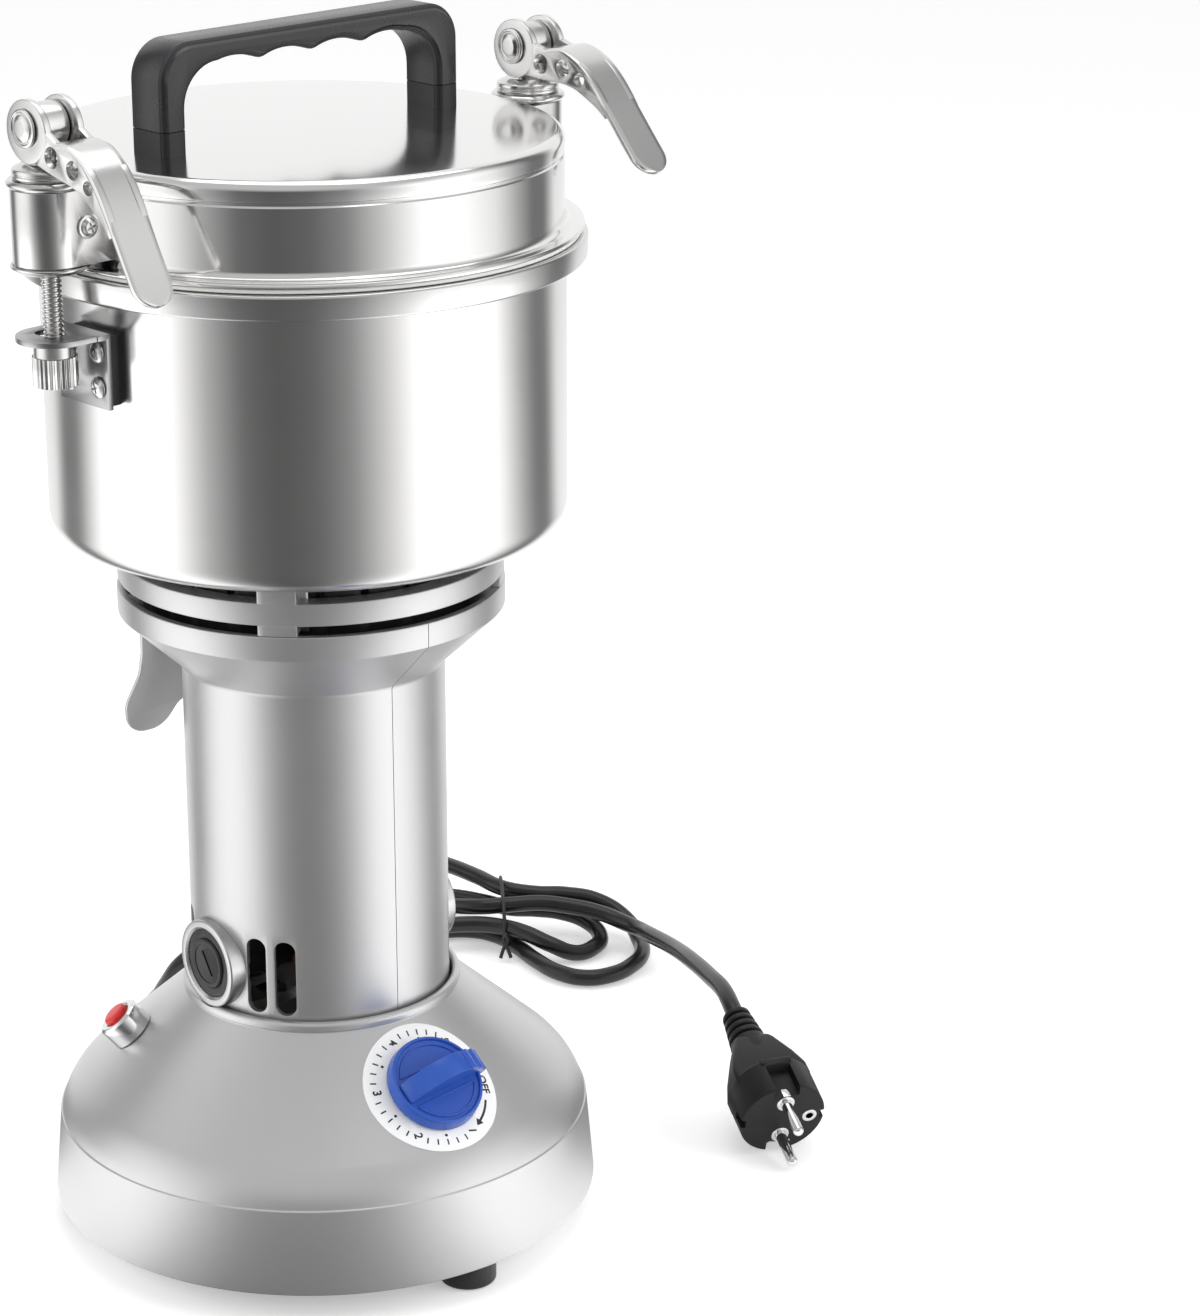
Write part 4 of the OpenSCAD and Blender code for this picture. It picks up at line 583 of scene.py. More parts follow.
# Route in metres: from the relief down to the floor, round the hank (in the hank's own axes)
# and on to the plug.
LEAD = [
    (0.054, 0.131, 0.062), (0.055, 0.143, 0.057), (0.054, 0.154, 0.049), (0.052, 0.165, 0.039),
    (0.052, 0.174, 0.028), (0.054, 0.184, 0.017), (0.059, 0.195, 0.009), (0.067, 0.204, 0.005),
    (0.077, 0.21, 0.0042), (0.091, 0.215, 0.0042), (0.105, 0.221, 0.0042), (0.119, 0.229, 0.005),
    (0.131, 0.24, 0.008)]
HANK = [
    (-0.145, 0.038, 0.01), (-0.134, 0.066, 0.012), (-0.112, 0.088, 0.014), (-0.084, 0.098, 0.015),
    (-0.058, 0.094, 0.017), (-0.038, 0.082, 0.019), (-0.022, 0.064, 0.021), (-0.008, 0.045, 0.022),
    (0.005, 0.028, 0.022), (0.02, 0.023, 0.021), (0.035, 0.023, 0.02), (0.051, 0.021, 0.017),
    (0.065, 0.012, 0.01), (0.07, -0.002, 0.0046), (0.07, -0.017, 0.0042), (0.064, -0.031, 0.0042),
    (0.053, -0.042, 0.0042), (0.04, -0.045, 0.0042), (0.028, -0.038, 0.0042), (0.018, -0.023, 0.0042),
    (0.01, -0.006, 0.0042), (0.001, 0.009, 0.0042), (-0.012, 0.018, 0.0042), (-0.03, 0.018, 0.0042),
    (-0.055, 0.009, 0.0042), (-0.082, 0.004, 0.0042), (-0.106, 0.012, 0.0042), (-0.119, 0.034, 0.0042),
    (-0.11, 0.058, 0.0045), (-0.088, 0.068, 0.005), (-0.062, 0.066, 0.006), (-0.04, 0.058, 0.008),
    (-0.02, 0.046, 0.011), (-0.005, 0.033, 0.013), (0.008, 0.024, 0.013), (0.02, 0.023, 0.0125),
    (0.033, 0.0215, 0.011), (0.045, 0.016, 0.008), (0.051, 0.004, 0.005), (0.047, -0.008, 0.0043),
    (0.037, -0.015, 0.0045), (0.025, -0.014, 0.009), (0.013, -0.007, 0.0125), (0.001, 0.001, 0.013),
    (-0.012, 0.005, 0.013), (-0.035, 0.004, 0.012), (-0.065, -0.006, 0.009), (-0.095, -0.008, 0.007),
    (-0.119, 0.002, 0.009), (-0.131, 0.024, 0.012), (-0.128, 0.05, 0.013), (-0.11, 0.07, 0.014),
    (-0.086, 0.074, 0.014), (-0.062, 0.062, 0.014), (-0.042, 0.042, 0.015), (-0.024, 0.024, 0.016),
    (-0.008, 0.013, 0.019), (0.007, 0.012, 0.02), (0.022, 0.013, 0.02), (0.036, 0.01, 0.019),
    (0.051, 0.005, 0.017), (0.062, -0.003, 0.015)]
TAIL = [
    (0.276, 0.086, 0.015), (0.268, 0.069, 0.019), (0.252, 0.038, 0.027), (0.232, 0.006, 0.036),
    (0.215, -0.022, 0.042), (0.204, -0.041, 0.0445), (0.197, -0.052, 0.0435), (0.1929, -0.0591, 0.0412)]
PLUG = turned_to((165, -114.5, 18.624), 0, 110, 243.3)


def in_hank(point):
    x, y, z = point
    c, s = math.cos(TIE_TURN), math.sin(TIE_TURN)
    return TIE_AT + Vector((x * c - y * s, x * s + y * c, z))


def curve_of(name, points, radius, closed=False):
    line = bpy.data.curves.new(name, "CURVE")
    line.dimensions = "3D"
    line.resolution_u = 8
    line.bevel_depth = radius
    line.bevel_resolution = 5
    line.use_fill_caps = True
    spline = line.splines.new("BEZIER")
    spline.bezier_points.add(len(points) - 1)
    for knot, point in zip(spline.bezier_points, points):
        knot.co = point
        knot.handle_left_type = knot.handle_right_type = "AUTO"
    spline.use_cyclic_u = closed
    piece = bpy.data.objects.new(name, line)
    bpy.context.scene.collection.objects.link(piece)
    return piece


def make_tie():
    """Wire tie round the bundle, its ends twisted together at the front."""
    loop = [(3, -5.4, 12), (3.4, -2.6, 4.4), (4, 3, 1.5), (4.6, 12, 1.1), (5, 22, 1.1), (5, 30, 2.2),
            (4.6, 35, 8), (4, 36, 18), (3, 31, 27), (3, 15, 26.4), (3, 0, 21)]
    pieces = [curve_of("loop", [in_hank(Vector(p) * MM) for p in loop], 0.0009, True)]
    for side in (-1, 1):
        twist = [(3 + side * 0.9, -5.8, 12), (3 - side * 1.1, -9, 9.5), (3 + side * 1.1, -11.5, 6),
                 (3 + side * 2.6, -13.5, 2.2)]
        pieces.append(curve_of("end", [in_hank(Vector(p) * MM) for p in twist], 0.0009))
    for piece in pieces:
        only(piece)
        bpy.ops.object.convert(target="MESH")
    return dress(joined("wire_tie", pieces), "stand", BLACK, "black_plastic", "cord_tie")


def make_relief():
    corners = [(0, -14), (6.5, -14), (6.5, 0), (7.6, 0, 0.4), (7.6, 2.6, 0.8), (6.4, 3)]
    for ring in range(6):
        z = 5 + ring * 4.6
        outer = 6.9 - ring * 0.36
        corners += [(outer, z, 0.4), (outer - 0.06, z + 3, 0.4), (outer - 1, z + 3.2),
                    (outer - 1, z + 4.2)]
    corners += [(5.0, 33.5, 0.6), (4.1, 34), (0, 34)]
    piece = place(spun("strain_boot", corners, 64), turned_to((38.292, 90.209, 66.757), 0, 90, 67))
    return dress(piece, "stand", RUBBER, "black_rubber", "strain_relief")


def make_plug():
    """Round two-pin plug: ribbed boot, tapered neck, disc with clip recesses."""
    corners = [(0, -66), (4.7, -66), (6.4, -65.4, 0.5)]
    for ring in range(4):
        z = -63.2 + ring * 4.5
        outer = 6.6 + ring * 0.55
        corners += [(outer, z, 0.4), (outer - 1.5, z + 0.5), (outer - 1.5, z + 1.5),
                    (outer + 0.25, z + 2, 0.4)]
    corners += [(8.8, -44, 1), (9.5, -40), (9.5, -18), (0, -18)]
    boot = spun("boot", corners, 72)
    neck = tapered([(-46.5, 7.6, 7.8), (-43, 8.6, 9.6), (-31, 10.4, 14.6), (-22.5, 11.4, 17.2),
                    (-14, 11.6, 17.2)], 2.4)
    disc = spun("disc", [(0, -21.5), (15, -21.5, 1), (19.5, -18.5, 1.4), (19.5, 0, 0.9), (0, 0)], 128)
    cut(disc, block((-21, -5.6, -15), (-13.8, 5.6, 3)), block((13.8, -5.6, -15), (21, 5.6, 3)),
        block((-2.2, 17.2, -7), (2.2, 21, 3)), block((-2.2, -21, -7), (2.2, -17.2, 3)),
        spun("bore", [(0, -9), (2.2, -9), (2.2, 3), (0, 3)], 40, (0, 12.4)))
    bevelled(disc, 0.35)
    smooth(disc)
    lip = block((-19.3, -7.2, -19.2), (-15.8, 7.2, -16), 0.8)
    body = place(joined("plug_moulding", [boot, neck, disc, lip]), PLUG)
    dress(body, "stand", PLUG_RUBBER, "black_rubber", "plug_body")
    pins = []
    for side in (-1, 1):
        pins.append(spun("pin", [(0, -6), (2.4, -6), (2.4, 19, 2.2), (0, 19)], 40, (side * 9.5, 0)))
        pins.append(spun("collar", [(2.5, -1), (4.1, -1), (4.1, 0.5, 0.3), (2.5, 0.5)], 40,
                         (side * 9.5, 0)))
        pins.append(block((13.1, side * 4 - 1.1, -9), (14.3, side * 4 + 1.1, 0.3), 0.3))
    pins.append(block((-14.4, -1.7, -4), (-13.9, 1.7, 0.3), 0.2))
    pins.append(spun("eye", [(1.7, -2), (3.4, -2), (3.4, 0.4, 0.3), (1.7, 0.4, 0.2)], 40, (0, 12.4)))
    metal = place(joined("plug_metal", pins), PLUG)
    dress(metal, "stand", BRIGHT, "chrome", "plug_pins")
    return body, metal


def make_cord():
    way = Vector(RELIEF_TIP)
    points = [way, way + Vector(RELIEF_WAY) * 0.004] + [Vector(p) for p in LEAD]
    points += [in_hank(p) for p in HANK] + [Vector(p) for p in TAIL]
    cord = curve_of("mains_cord", points, CORD_D / 2)
    dress(cord, "stand", CABLE, "black_rubber", "cord_lead", "cord_hank", "cord_tail")
    body, metal = make_plug()
    make_tie()
    make_relief()


# ---------- Pieces of the stand ----------
DIAL = turned_to((-10.638, -80.803, 81.203), 0, CONE_SLOPE, 262.5)
RESET = turned_to((-65.53, 45.886, 82.516), 0, CONE_SLOPE, 145)
BRUSH_AXES = [turned_to((0, 0, BRUSH_Z), 0, side * 90, BASE_TURN) for side in (-1, 1)]
SLOPE = math.radians(CONE_SLOPE)


def cone_z(r):
    return 0.061723 + (0.103752 - r) * math.tan(SLOPE)


def arc(x, y, r, start, end, steps):
    """Points in mm on an arc between two angles in degrees."""
    turns = [math.radians(start + (end - start) * i / steps) for i in range(steps + 1)]
    return [(x + r * math.cos(a), y + r * math.sin(a)) for a in turns]


def make_base():
    """Round base: skirt with a creased shoulder, cone and neck bead, open for the brushes."""
    outline = [(115, 12, 0.6), (111.8, 47.9, 0.5), (111.15, 48.3, 0.15), (108.52, 57.55, 30),
               (57.7, 102.04, 0.5), (58.45, 102.7, 0.4), (58.45, 106.2, 1.8), (55.2, 106.2, 1.2),
               (55.2, COLUMN_LOW), (43.5, COLUMN_LOW), (43.5, 84.04), (57.7, 84.04), (57.7, 98.7),
               (108.33, 54.39, 20.9), (112.49, 12, 0.5)]
    shell = spun("base_casting", outline, 200)
    for axis in BRUSH_AXES:
        cut(shell, place(spun("clear", [(0, 0), (18.7, 0), (18.7, 90), (0, 90)], 96), axis))
    smooth(shell)
    dress(shell, "stand", BASE_PAINT, "silver_paint", "base_shell")


def make_brush_fittings():
    corners = [(14.5, 49), (18.5, 49), (18.5, 58, 0.9), (15.6, 58, 0.5), (14.5, 57, 0.3)]
    rings = [place(spun("bezel", corners, 96), axis) for axis in BRUSH_AXES]
    dress(joined("brush_bezel_rings", rings), "stand", PLAIN_STEEL, "chrome", "brush_bezels")


def make_reset():
    bezel = spun("reset_bezel_ring", [(5.9, 0.2), (9.5, 0.2), (9.5, 9.4, 0.5), (9.2, 9.7, 0.3),
                                      (8.4, 10.5, 0.8), (6.6, 10.5, 0.5), (5.9, 9.6, 0.3)], 96)
    dress(place(bezel, RESET), "stand", BRIGHT, "chrome", "reset_bezel")
    button = spun("reset_cap", [(0, 2.5), (5.55, 2.5), (5.55, 12.5, 1.6), (0, 12.7)], 64)
    dress(place(button, RESET), "reset", RED, "red_plastic", "reset_button")


def on_dial(piece):
    """Lays a piece drawn flat in the dial's plane onto the cone."""
    normal = DIAL.to_3x3() @ Vector((0, 0, 1))
    for vertex in piece.data.vertices:
        point = DIAL @ Vector((vertex.co.x, vertex.co.y, 0))
        for _ in range(6):
            target = cone_z(math.hypot(point.x, point.y)) + (0.0005 + vertex.co.z) / math.cos(SLOPE)
            point += normal * (target - point.z) * math.cos(SLOPE)
        vertex.co = point
    return piece


DIAL_STEP = 60         # from OFF to 1 and from number to number
LETTER_R, LETTER_H = 0.0243, 0.0049


def lettering(words, angle):
    """Flat print in metres on the dial's circle of numbers."""
    clear()
    bpy.ops.object.text_add()
    piece = bpy.context.object
    piece.data.body = words
    piece.data.size = LETTER_H
    piece.data.offset = 0.00014
    piece.data.extrude = 0.00004
    piece.data.align_x = "CENTER"
    piece.data.align_y = "CENTER"
    bpy.ops.object.convert(target="MESH")
    at = Vector((math.cos(math.radians(angle)), math.sin(math.radians(angle)), 0)) * LETTER_R
    return place(piece, Matrix.Translation(at) @ Matrix.Rotation(math.radians(-12), 4, "Z"))


def make_dial_marks():
    """OFF, five numbers, five ticks and a dot between each two, and the arrow from OFF to 1."""
    pieces = [lettering("OFF", 78)]
    for number in range(1, 6):
        angle = 78 - DIAL_STEP * number
        pieces.append(lettering(str(number), angle))
        if number == 5:
            continue
        for tick in range(1, 6):
            turn = Matrix.Rotation(math.radians(angle - DIAL_STEP / 6 * tick), 4, "Z")
            pieces.append(block((23.9, -0.32, -0.04), (26.4, 0.32, 0.04), 0, turn))
            if tick == 3:
                dot = spun("dot", [(0, -0.04), (0.62, -0.04), (0.62, 0.04), (0, 0.04)], 24)
                pieces.append(place(dot, turn @ Matrix.Translation((0.0222, 0, 0))))
    outline = arc(0, 0, 24.5, 60, 34, 14) + [(21.45, 14.2), (21.7, 10.9), (18.6, 12.1)]
    outline += arc(0, 0, 23.5, 34, 60, 14)
    arrow = place(slab("arrow", outline, 0.08), Matrix.Rotation(math.radians(-90), 4, "X"))
    finish_with(arrow, "TRIANGULATE")
    pieces.append(arrow)
    for piece in pieces:
        on_dial(piece)
    dress(joined("dial_marks", pieces), "stand", INK, "dial_print")


def make_knob():
    """Round knob with sunk faces either side of an arched finger bar with three grip lobes."""
    skirt = spun("skirt", [(0, 0.2), (20.5, 0.2, 0.4), (19.7, 6, 0.9), (18.5, 6, 0.35),
                           (18.1, 4.9, 0.3), (0, 4.9)], 128)
    outline = [(-17.8, 4.2)] + arc(2, -5, 22, 153, 70, 26) + arc(12, 11.5, 3.2, 125, 3, 9)
    outline += arc(16.5, 8.5, 3.2, 110, -5, 9) + arc(19.8, 4.8, 3.2, 89, -50, 9) + [(18.5, 3)]
    bar = slab("bar", outline, 9)
    bevelled(bar, 0.55, 3, 40)
    smooth(bar, 35)
    brim = spun("brim", [(15.9, 4.6), (16.7, 4.6), (16.7, 5.5, 0.3), (15.9, 5.5, 0.3)], 128)
    cut(brim, block((-20, -6.9, 4), (20, 6.9, 7)))
    edges = [block((-14.4, side * 6.9 - 0.35, 4.6), (14.4, side * 6.9 + 0.35, 5.5), 0.2)
             for side in (-1, 1)]
    knob = joined("timer_knob_grip", [skirt, bar, brim, *edges])
    place(knob, DIAL @ Matrix.Translation((0, 0, 0.001)) @ Matrix.Rotation(math.radians(97), 4, "Z"))
    dress(knob, "timer", BLUE, "blue_plastic", "timer_knob")


# ---------- Bowl and lid ----------
def make_bowl():
    outline = [(11.1, BOWL_LOW), (104.5, BOWL_LOW, 10), (104.5, 414.0, 0.8), (112.9, 414.24, 1.2),
               (113.2, BOWL_TOP, 1.4), (103, BOWL_TOP, 0.8), (103, 305.54, 8.5), (11.1, 305.54)]
    bowl = spun("grinding_bowl", outline, 240)
    dress(bowl, "stand", STEEL, "stainless", "bowl")


def make_lid():
    outline = [(0, LID_TOP), (104, LID_TOP, 4), (104, 457.1, 0.25), (103.35, 456.5, 0.25),
               (103.35, 455.5, 0.25), (104, 454.9, 0.25), (104, 427.84, 3.5), (111.6, 427.84, 0.5),
               (112, 426.6, 0.4), (111, 425.74, 0.3), (102.8, 425.74), (102.8, 463.34, 2.6),
               (0, 463.34)]
    lid = spun("lid_dome", outline, 240)
    dress(lid, "lid", MIRROR, "lid_steel", "lid_shell")


def with_coves(piece, depth):
    """Cuts a hollow along the edges of both faces of an outline slab."""
    steps = 5
    for side in (-1, 1):
        edit(piece, "DESELECT")
        bpy.ops.object.mode_set(mode="OBJECT")
        for face in piece.data.polygons:
            face.select = face.normal.y * side > 0.99
        bpy.ops.object.mode_set(mode="EDIT")
        done = (0, 0)
        for i in range(1, steps + 1):
            turn = math.pi / 2 * i / steps
            goal = (depth * math.sin(turn), depth * (1 - math.cos(turn)))
            bpy.ops.mesh.inset(thickness=(goal[0] - done[0]) * MM, depth=(goal[1] - done[1]) * MM,
                               use_even_offset=True, use_boundary=True)
            done = goal
        bpy.ops.object.mode_set(mode="OBJECT")
    bevelled(piece, 0.35, 2, 42)
    smooth(piece, 32)
    return piece


FOOT_TOP = 0.0094      # metres above the lid, below which the handle's blocks are black


def make_handle():
    """Bridge grip with four finger hollows, standing on two foot blocks."""
    outer, inner, low, top, width = 75.7, 63.7, 9.6, 42.5, 16.8
    pitch, hollow_r, hollow_y, between_y, corner_r = 26, 30, 4.5, 32.05, 17
    outline = [(-outer, low - 5), (-outer, top, 15), (outer, top, 15), (outer, low - 5),
               (inner, low - 5)]
    outline += arc(inner - corner_r, 16.5, corner_r, 0, 90, 12)
    outline += arc(1.5 * pitch, hollow_y, hollow_r, 77, 112, 10)
    for x in (pitch / 2, -pitch / 2):
        outline += [(x + pitch / 2, between_y)] + arc(x, hollow_y, hollow_r, 68, 112, 12)
    outline += [(-pitch, between_y)] + arc(-1.5 * pitch, hollow_y, hollow_r, 68, 103, 10)
    outline += arc(corner_r - inner, 16.5, corner_r, 90, 180, 12) + [(-inner, low - 5)]
    grip = with_coves(slab("grip", outline, width), 2.3)
    pieces = [cut(grip, block((-90, -20, -20), (90, 20, low)))]
    for side in (-1, 1):
        left, right = sorted((side * inner, side * outer))
        foot = slab("foot", [(left, -5), (left, 15), (right, 15), (right, -5)], width)
        cut(with_coves(foot, 2.3), block((-90, -20, -20), (90, 20, 0)),
            block((-90, -20, 9.25), (90, 20, 30)))
        pieces += [foot, block((left + 0.7, -7.8, 8.8), (right - 0.7, 7.8, 10))]
    grip = joined("lid_handle", pieces)
    grip.data.materials.append(GRIP)
    grip.data.materials.append(BLACK)
    for face in grip.data.polygons:
        face.material_index = int(face.center.z < FOOT_TOP)
    place(grip, turned_to((0, 0, LID_TOP)))
    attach(grip, "lid")
    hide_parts("handle")


# ---------- Clamps ----------
def on_both_clamps(name, outlines, steps=96):
    """Turned pieces on both clamp axes."""
    pieces = []
    for x in (-CLAMP_X, CLAMP_X):
        pieces += [spun(name, outline, steps, (x, 0)) for outline in outlines]
    return joined(name, pieces)


def make_clamp_discs():
    plate = [(4.4, 427.84), (12.6, 427.84, 0.5), (15.1, 429.6, 0.5), (15.1, 430.54, 0.4),
             (14.2, 430.54, 0.3), (13.4, 429.8, 0.5), (12, 429.8), (12, 430.94), (4.4, 430.94)]
    collar = [(4.4, 459.64), (12, 459.64), (12, 459.94), (14.4, 459.94, 0.3), (15.3, 461.0, 0.6),
              (15.3, 461.9, 0.6), (14.3, 462.94, 0.3), (4.4, 462.94)]
    discs = on_both_clamps("clamp_discs", [plate, collar])
    dress(discs, "lid", STEEL, "stainless", "clamp_plates")
    cup = [(4.4, 462.96), (11.4, 462.96), (11.4, 463.4), (12.9, 463.4, 0.3), (13, 464.6, 0.2),
           (12.5, 464.8, 0.15), (12.5, 465.3, 0.15), (13, 465.5, 0.3), (12.7, 467.0, 0.9),
           (8.8, 468.94, 0.8), (4.4, 468.94)]
    dress(on_both_clamps("cam_cups", [cup]), "lid", CAST, "cast_silver", "clamp_caps")


def threaded(x, low, high, pitch):
    """Screw thread: a ridge wound round a core."""
    ridge = ring_of("ridge", [Vector(p) * MM for p in ((3.2, 0), (4, pitch * 0.42),
                                                       (4, pitch * 0.58), (3.2, pitch))])
    finish_with(ridge, "SCREW", angle=2 * math.pi, screw_offset=pitch * MM, steps=28,
                render_steps=28, iterations=int((high - low) / pitch), axis="Z")
    edit(ridge)
    bpy.ops.mesh.remove_doubles(threshold=WELD)
    close_outward()
    edit(ridge)
    bpy.ops.mesh.fill_holes(sides=6)
    close_outward()
    smooth(ridge, 30)
    return place(ridge, turned_to((x, 0, low)))


def make_rod(side):
    """Clamp rod: thread, eye and the pin with its domed heads."""
    x = side * CLAMP_X
    across = turned_to((x, 0, PIVOT_Z), 0, 90, 0)
    core = spun("core", [(0, 384.44), (3.3, 384.44, 0.4), (3.3, 432), (4, 432.5), (4, 480), (0, 480)],
                40, (x, 0))
    eye = place(spun("eye", [(2.9, -5.7), (9, -5.7, 1.1), (9, 5.7, 1.1), (2.9, 5.7)], 72), across)
    head = [(0, 8.9), (7.35, 9.3, 0.2), (7.35, 10.2, 0.5), (6.3, 10.5, 0.3), (5.9, 9.8, 0.2),
            (5.5, 9.8, 0.2), (5.2, 10.5, 0.4), (3.4, 11.3, 2.5), (0, 11.4)]
    pin = [(0, -9), (3, -9), (3, 9), (0, 9)]
    pieces = [core, threaded(x, 385, 431, 1.9), eye, place(spun("pin", pin, 48), across)]
    pieces.append(place(spun("head", head, 64), across))
    pieces.append(place(spun("head", head, 64), turned_to((x, 0, PIVOT_Z), 0, -90, 0)))
    word = "left" if side < 0 else "right"
    dress(joined("clamp_rod_" + word, pieces), "rod_" + word, BRIGHT_STEEL, "steel", "rod_" + word)


LEVER_CURVE = [Vector(p) for p in ((18, 3), (40, 1), (45, 23), (66, 57))]
CHEEK_ARM = [(9.0, 6.0, 7.0), (15.7, 8.7, 6.25), (22, 10.1, 6.25), (28.2, 11.6, 6.2),
             (33, 14, 5.7), (37, 16.9, 4.9), (41.8, 21.8, 3.8), (46.5, 27.5, 2.4), (50, 33, 1.5)]
CHEEK_HOLES = [(15.7, 8.7, 4.05), (28.2, 11.6, 3.6), (37, 16.9, 2.7)]
CAM = (0.86, 1.229, 12.07)
STRAP_T = 2.5


def strap_at(t):
    """Point and direction of the lever's strap, across and down from the pivot in mm."""
    a, b, c, d = LEVER_CURVE
    u = 1 - t
    point = a * u ** 3 + b * 3 * u * u * t + c * 3 * u * t * t + d * t ** 3
    way = (b - a) * 3 * u * u + (c - b) * 6 * u * t + (d - c) * 3 * t * t
    return point, way.normalized()


def make_strap():
    """Curved strap of the lever with rounded edges and a round free end."""
    rings, count, r = [], 44, 0.7
    end = LEVER_CURVE[3]
    for i in range(count + 1):
        t = 1 - (1 - i / count) ** 1.6
        point, way = strap_at(t)
        left = min(9.0, (end - point).length + 0.06)
        half = max(0.8, math.sqrt(max(0.0, 81 - (9 - left) ** 2)))
        low = Vector((-way.y, way.x))
        edge = [(2.4, 0), (r, 0), (0.3 * r, 0.3 * r), (0, r)]
        edge += [(inset, STRAP_T - depth) for inset, depth in reversed(edge)]
        ring = []
        for sx, half_line in ((1, edge), (-1, edge[::-1])):
            for inset, depth in half_line:
                at = point + low * depth
                ring.append((sx * (half - min(inset, half * 0.9)), -at.x, -at.y))
        rings.append(ring)
    strap = lofted("strap", rings)
    smooth(strap)
    return strap


def between(stations, at):
    """Station at a fraction along a list, smoothly between its neighbours."""
    i = min(int(at), len(stations) - 2)
    t, last = at - i, len(stations) - 1
    a, b, c, d = (Vector(stations[min(max(k, 0), last)]) for k in (i - 1, i, i + 1, i + 2))
    return b + ((c - a) + (a * 2 - b * 5 + c * 4 - d + (b * 3 - a - c * 3 + d) * t) * t) * t / 2


def make_cheek():
    """Side plate of the lever: the cam disc and an arm with three holes."""
    upper, lower = [], []
    fine = [between(CHEEK_ARM, i / 4) for i in range(4 * len(CHEEK_ARM) - 3)]
    for i, (x, y, r) in enumerate(fine):
        before, after = fine[max(i - 1, 0)], fine[min(i + 1, len(fine) - 1)]
        way = Vector((after[0] - before[0], after[1] - before[1])).normalized()
        upper.append((x + way.y * r, -(y - way.x * r)))
        lower.append((x - way.y * r, -(y + way.x * r)))
    arm = slab("cheek", upper + lower[::-1], 2.96)
    upright = Matrix.Rotation(math.radians(90), 4, "X")
    for x, y, r in CHEEK_HOLES:
        cut(arm, place(spun("hole", [(0, -4), (r, -4), (r, 4), (0, 4)], 48),
                       turned_to((x, 0, -y)) @ upright))
    bevelled(arm, 0.5, 3)
    smooth(arm)
    cx, cy, r = CAM
    disc = place(spun("disc", [(3.5, -1.5, 0.2), (r, -1.5, 0.5), (r, 1.5, 0.5), (3.5, 1.5, 0.2)], 96),
                 turned_to((cx, 0, -cy)) @ upright)
    arm = joined("cheek", [arm, disc])
    return place(arm, Matrix.Rotation(math.radians(-90), 4, "Z"))


def make_levers():
    strap, cheek = make_strap(), make_cheek()
    for word, side, lift in (("left", -1, 0), ("right", 1, 12)):
        there = turned_to((side * CLAMP_X, 0, PIVOT_Z), -lift)
        parts = [copied(strap, there)]
        parts += [copied(cheek, there @ Matrix.Translation((x * MM, 0, 0))) for x in (-7.5, 7.5)]
        piece = joined("cam_lever_" + word, parts)
        dress(piece, "lever_" + word, CAST, "cast_silver", "lever_" + word)
    for done in (strap, cheek):
        bpy.data.objects.remove(done)


def cross_slot(point, axis, size=2.1):
    """Two crossed cutters that sink 1.2 mm into a screw head that looks along the axis."""
    spin = {"X": (0, 90, 0), "-X": (0, -90, 0), "Y": (-90, 0, 0), "-Y": (90, 0, 0)}[axis]
    frame_there = turned_to(point, *spin)
    return [block((-size, -0.42, -1.2), (size, 0.42, 1), 0,
                  frame_there @ Matrix.Rotation(math.radians(turn), 4, "Z")) for turn in (20, 110)]


def make_clamp_screws():
    heads = softened("strap_screws", "lid_screws", 0.25)
    for x in (-115.8, 115.8):
        cut(heads, *cross_slot((x, 16.6, 445.44), "Y"), *cross_slot((x, -16.6, 445.44), "-Y"))
    dress(heads, "lid", BRIGHT_STEEL, "zinc_screw", "lid_screws")
    rivets = softened("ear_fasteners", "ear_rivets", 0.45, 3)
    for y in (-9, 9):
        cut(rivets, *cross_slot((112, y, 381.54), "X"), *cross_slot((-112, y, 381.54), "-X"))
    dress(rivets, "stand", BRIGHT_STEEL, "zinc_screw", "ear_rivets")


# ---------- Motor top, hook and column ----------
def make_motor_top():
    """Ring casting with broad spacers between the collar, the ring and the bowl."""
    arms = cut(softened("motor_top", "grille_ring", 0),
               spun("rim", [(70.5, 270), (95, 270), (95, 310), (70.5, 310)], 128))
    ring = spun("ring", [(70.3, 284.04, 0.3), (78.6, 284.04, 0.5), (78.6, 293.24, 0.6),
                         (70.3, 293.24, 0.3)], 200)
    spacer = joined("spacers", [
        block((68.5, -7.8, low), (82, 7.8, top), 0, Matrix.Rotation(math.radians(turn), 4, "Z"))
        for turn in (39.8, 129.8, 219.8, 309.8) for low, top in ((279.8, 284.4), (292.9, 304))])
    cut(spacer, spun("outside", [(78.7, 270), (110, 270), (110, 310), (78.7, 310)], 160))
    bevelled(spacer, 0.4, 2, 60)
    smooth(spacer, 30)
    dress(joined("motor_top", [arms, ring, spacer]), "stand", RING_PAINT, "ring_casting",
          "grille_ring")
    bolts = cut(softened("bowl_bolts", "bowl_screws", 0.5, 3),
                spun("gap", [(69, 262), (95, 262), (95, 303.5), (69, 303.5)], 96))
    dress(bolts, "stand", PLAIN_STEEL, "steel", "bowl_screws")


def make_hook():
    """Sheet hook under the collar with two broad horns that lean outwards."""
    corners = [(-35.5, 268.4), (35.5, 268.4), (36, 228, 12), (41.5, 215, 9), (38.5, 200.5, 12),
               (20, 199.5, 12), (12, 211, 8), (-12, 211, 8), (-20, 199.5, 12), (-38.5, 200.5, 12),
               (-41.5, 215, 9), (-36, 228, 12)]
    hook = place(slab("cord_hook_sheet", corners, 1.5), turned_to((0, 68.75, 0)))
    edit(hook)
    bpy.ops.mesh.bisect(plane_co=(0, 0, 0.238), plane_no=(0, 0, 1))
    bpy.ops.object.mode_set(mode="OBJECT")
    for vertex in hook.data.vertices:
        if vertex.co.z < 0.238:
            vertex.co.y += (0.238 - vertex.co.z) * 0.22
    bevelled(hook, 0.35)
    smooth(hook)
    dress(hook, "stand", RING_PAINT, "ring_casting", "cord_hook")


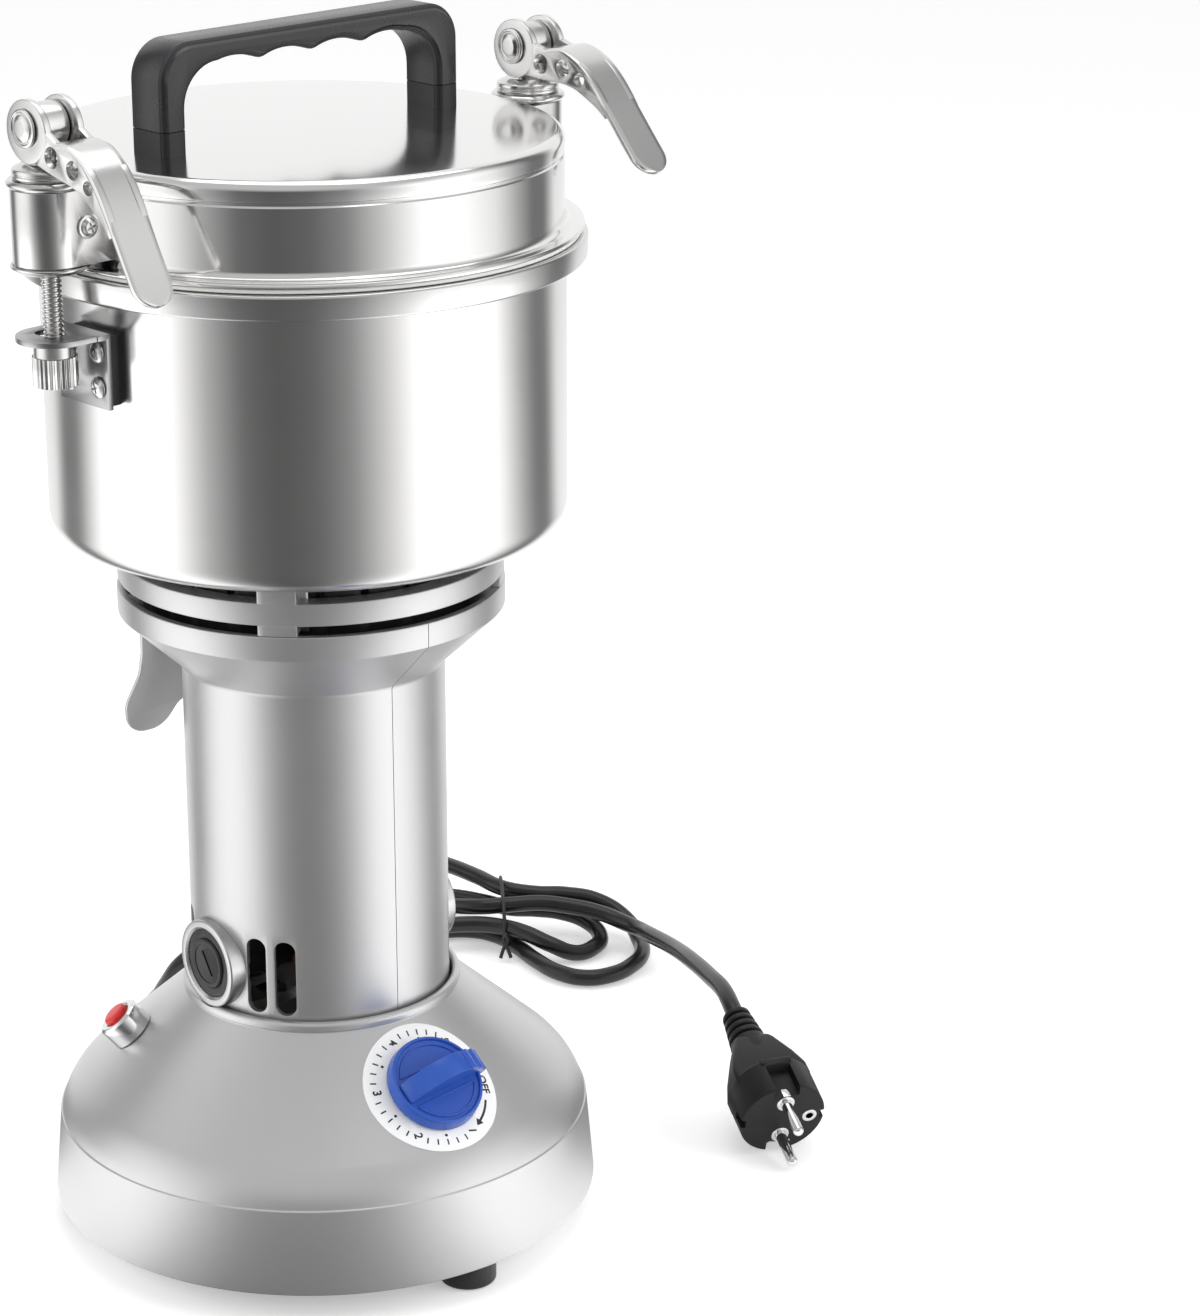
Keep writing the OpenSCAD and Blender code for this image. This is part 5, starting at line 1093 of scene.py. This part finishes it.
def make_column():
    """Column with its flared collar: brush bores, air slots and a fine seam front and back."""
    outline = [(COLUMN_R, z) for z in (COLUMN_LOW, 103.9, 143.4, 158, 190)]
    outline += [(COLUMN_R, 245.6, 3), (54.6, 246.94, 1), (78.2, 269.04, 0.8), (79, 269.84, 0.5),
                (79, COLLAR_TOP, 0.5), (76, COLLAR_TOP), (76, 269.64), (51.5, 247.54),
                (51.5, COLUMN_LOW)]
    shell = spun("column_shell", outline, 192)
    for axis in BRUSH_AXES:
        cut(shell, place(spun("bore", [(0, 30), (18.6, 30), (18.6, 90), (0, 90)], 96), axis))
    slot = slab("slot", [(x * 4.5, x * y * 16.3, 4.4) for x, y in ((-1, 1), (1, -1), (1, 1), (-1, -1))],
                20)
    for way in (0, 180):
        for turn in (-39, -25.5, 25.5, 39):
            there = Matrix.Rotation(math.radians(way + turn - 95), 4, "Z")
            cut(shell, copied(slot, there @ turned_to((0, COLUMN_R, BRUSH_Z))))
    bpy.data.objects.remove(slot)
    bevelled(shell, 0.7, 3)
    cut(shell, block((-0.15, -100, 80), (0.15, 100, 300), 0,
                     Matrix.Rotation(math.radians(BASE_TURN), 4, "Z")))
    smooth(shell)
    dress(shell, "stand", PAINT, "silver_paint", "column_left", "column_right")


# ---------- Pieces that keep their CAD shape, with merged corners and rounded edges ----------
SOFTENED = [
    ("rubber_foot_set", "rubber_feet", 0.8, RUBBER, "black_rubber"),
    ("bottom_cover", "base_plate", 0.3, PLAIN_STEEL, "steel"),
    ("dial_face", "dial_plate", 0.15, PRINT, "dial_print"),
    ("brush_inserts", "brush_holders", 0.3, BLACK, "black_plastic"),
    ("brush_cap_pair", "brush_caps", 0.25, BLACK, "black_plastic"),
    ("air_guide", "vent_sleeve", 0.2, BLACK, "black_plastic"),
    # The ear plates' darker stainless is a painted reflection of the dark studio.
    ("ear_plates", "ears", 0.7, EAR_STEEL_PAINTED_DARK, "stainless"),
    # Black pads between the ear plates and the bowl; their black also stands in for the painted shadow
    # in that gap.
    ("ear_pads_and_gap_shade", "ear_pads", 0.6, RUBBER, "black_rubber"),
    ("lid_seal", "lid_gasket", 0.3, SILICONE, "silicone"),
    ("lid_bottom", "lid_liner", 0.2, STEEL, "stainless"),
    ("clamp_straps", "clamp_sleeves", 0.45, STEEL, "stainless"),
    ("clamp_blocks", "clamp_cores", 0.3, PLAIN_STEEL, "grey_metal"),
    ("knurled_nut_left", "nut_left", 0.22, BRIGHT_STEEL, "steel"),
    ("knurled_nut_right", "nut_right", 0.22, BRIGHT_STEEL, "steel"),
    ("blade_set", "blades", 0.25, PLAIN_STEEL, "steel"),
    ("blade_hex", "blade_nut", 0.4, PLAIN_STEEL, "steel"),
    ("bowl_seal", "shaft_seal", 0.5, SILICONE, "silicone"),
]


def make_softened():
    for name, node, width, look, slot in SOFTENED:
        piece = softened(name, node, width, 3 if width > 0.4 else 2)
        dress(piece, frame["nodes"][node]["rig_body"], look, slot, node)


make_camera()
make_cord()
make_world()
make_lights()
make_floor()
finish_nodes()
make_base()
make_brush_fittings()
make_reset()
make_dial_marks()
make_knob()
make_bowl()
make_lid()
make_handle()
make_clamp_discs()
make_rod(-1)
make_rod(1)
make_levers()
make_clamp_screws()
make_motor_top()
make_hook()
make_column()
make_softened()
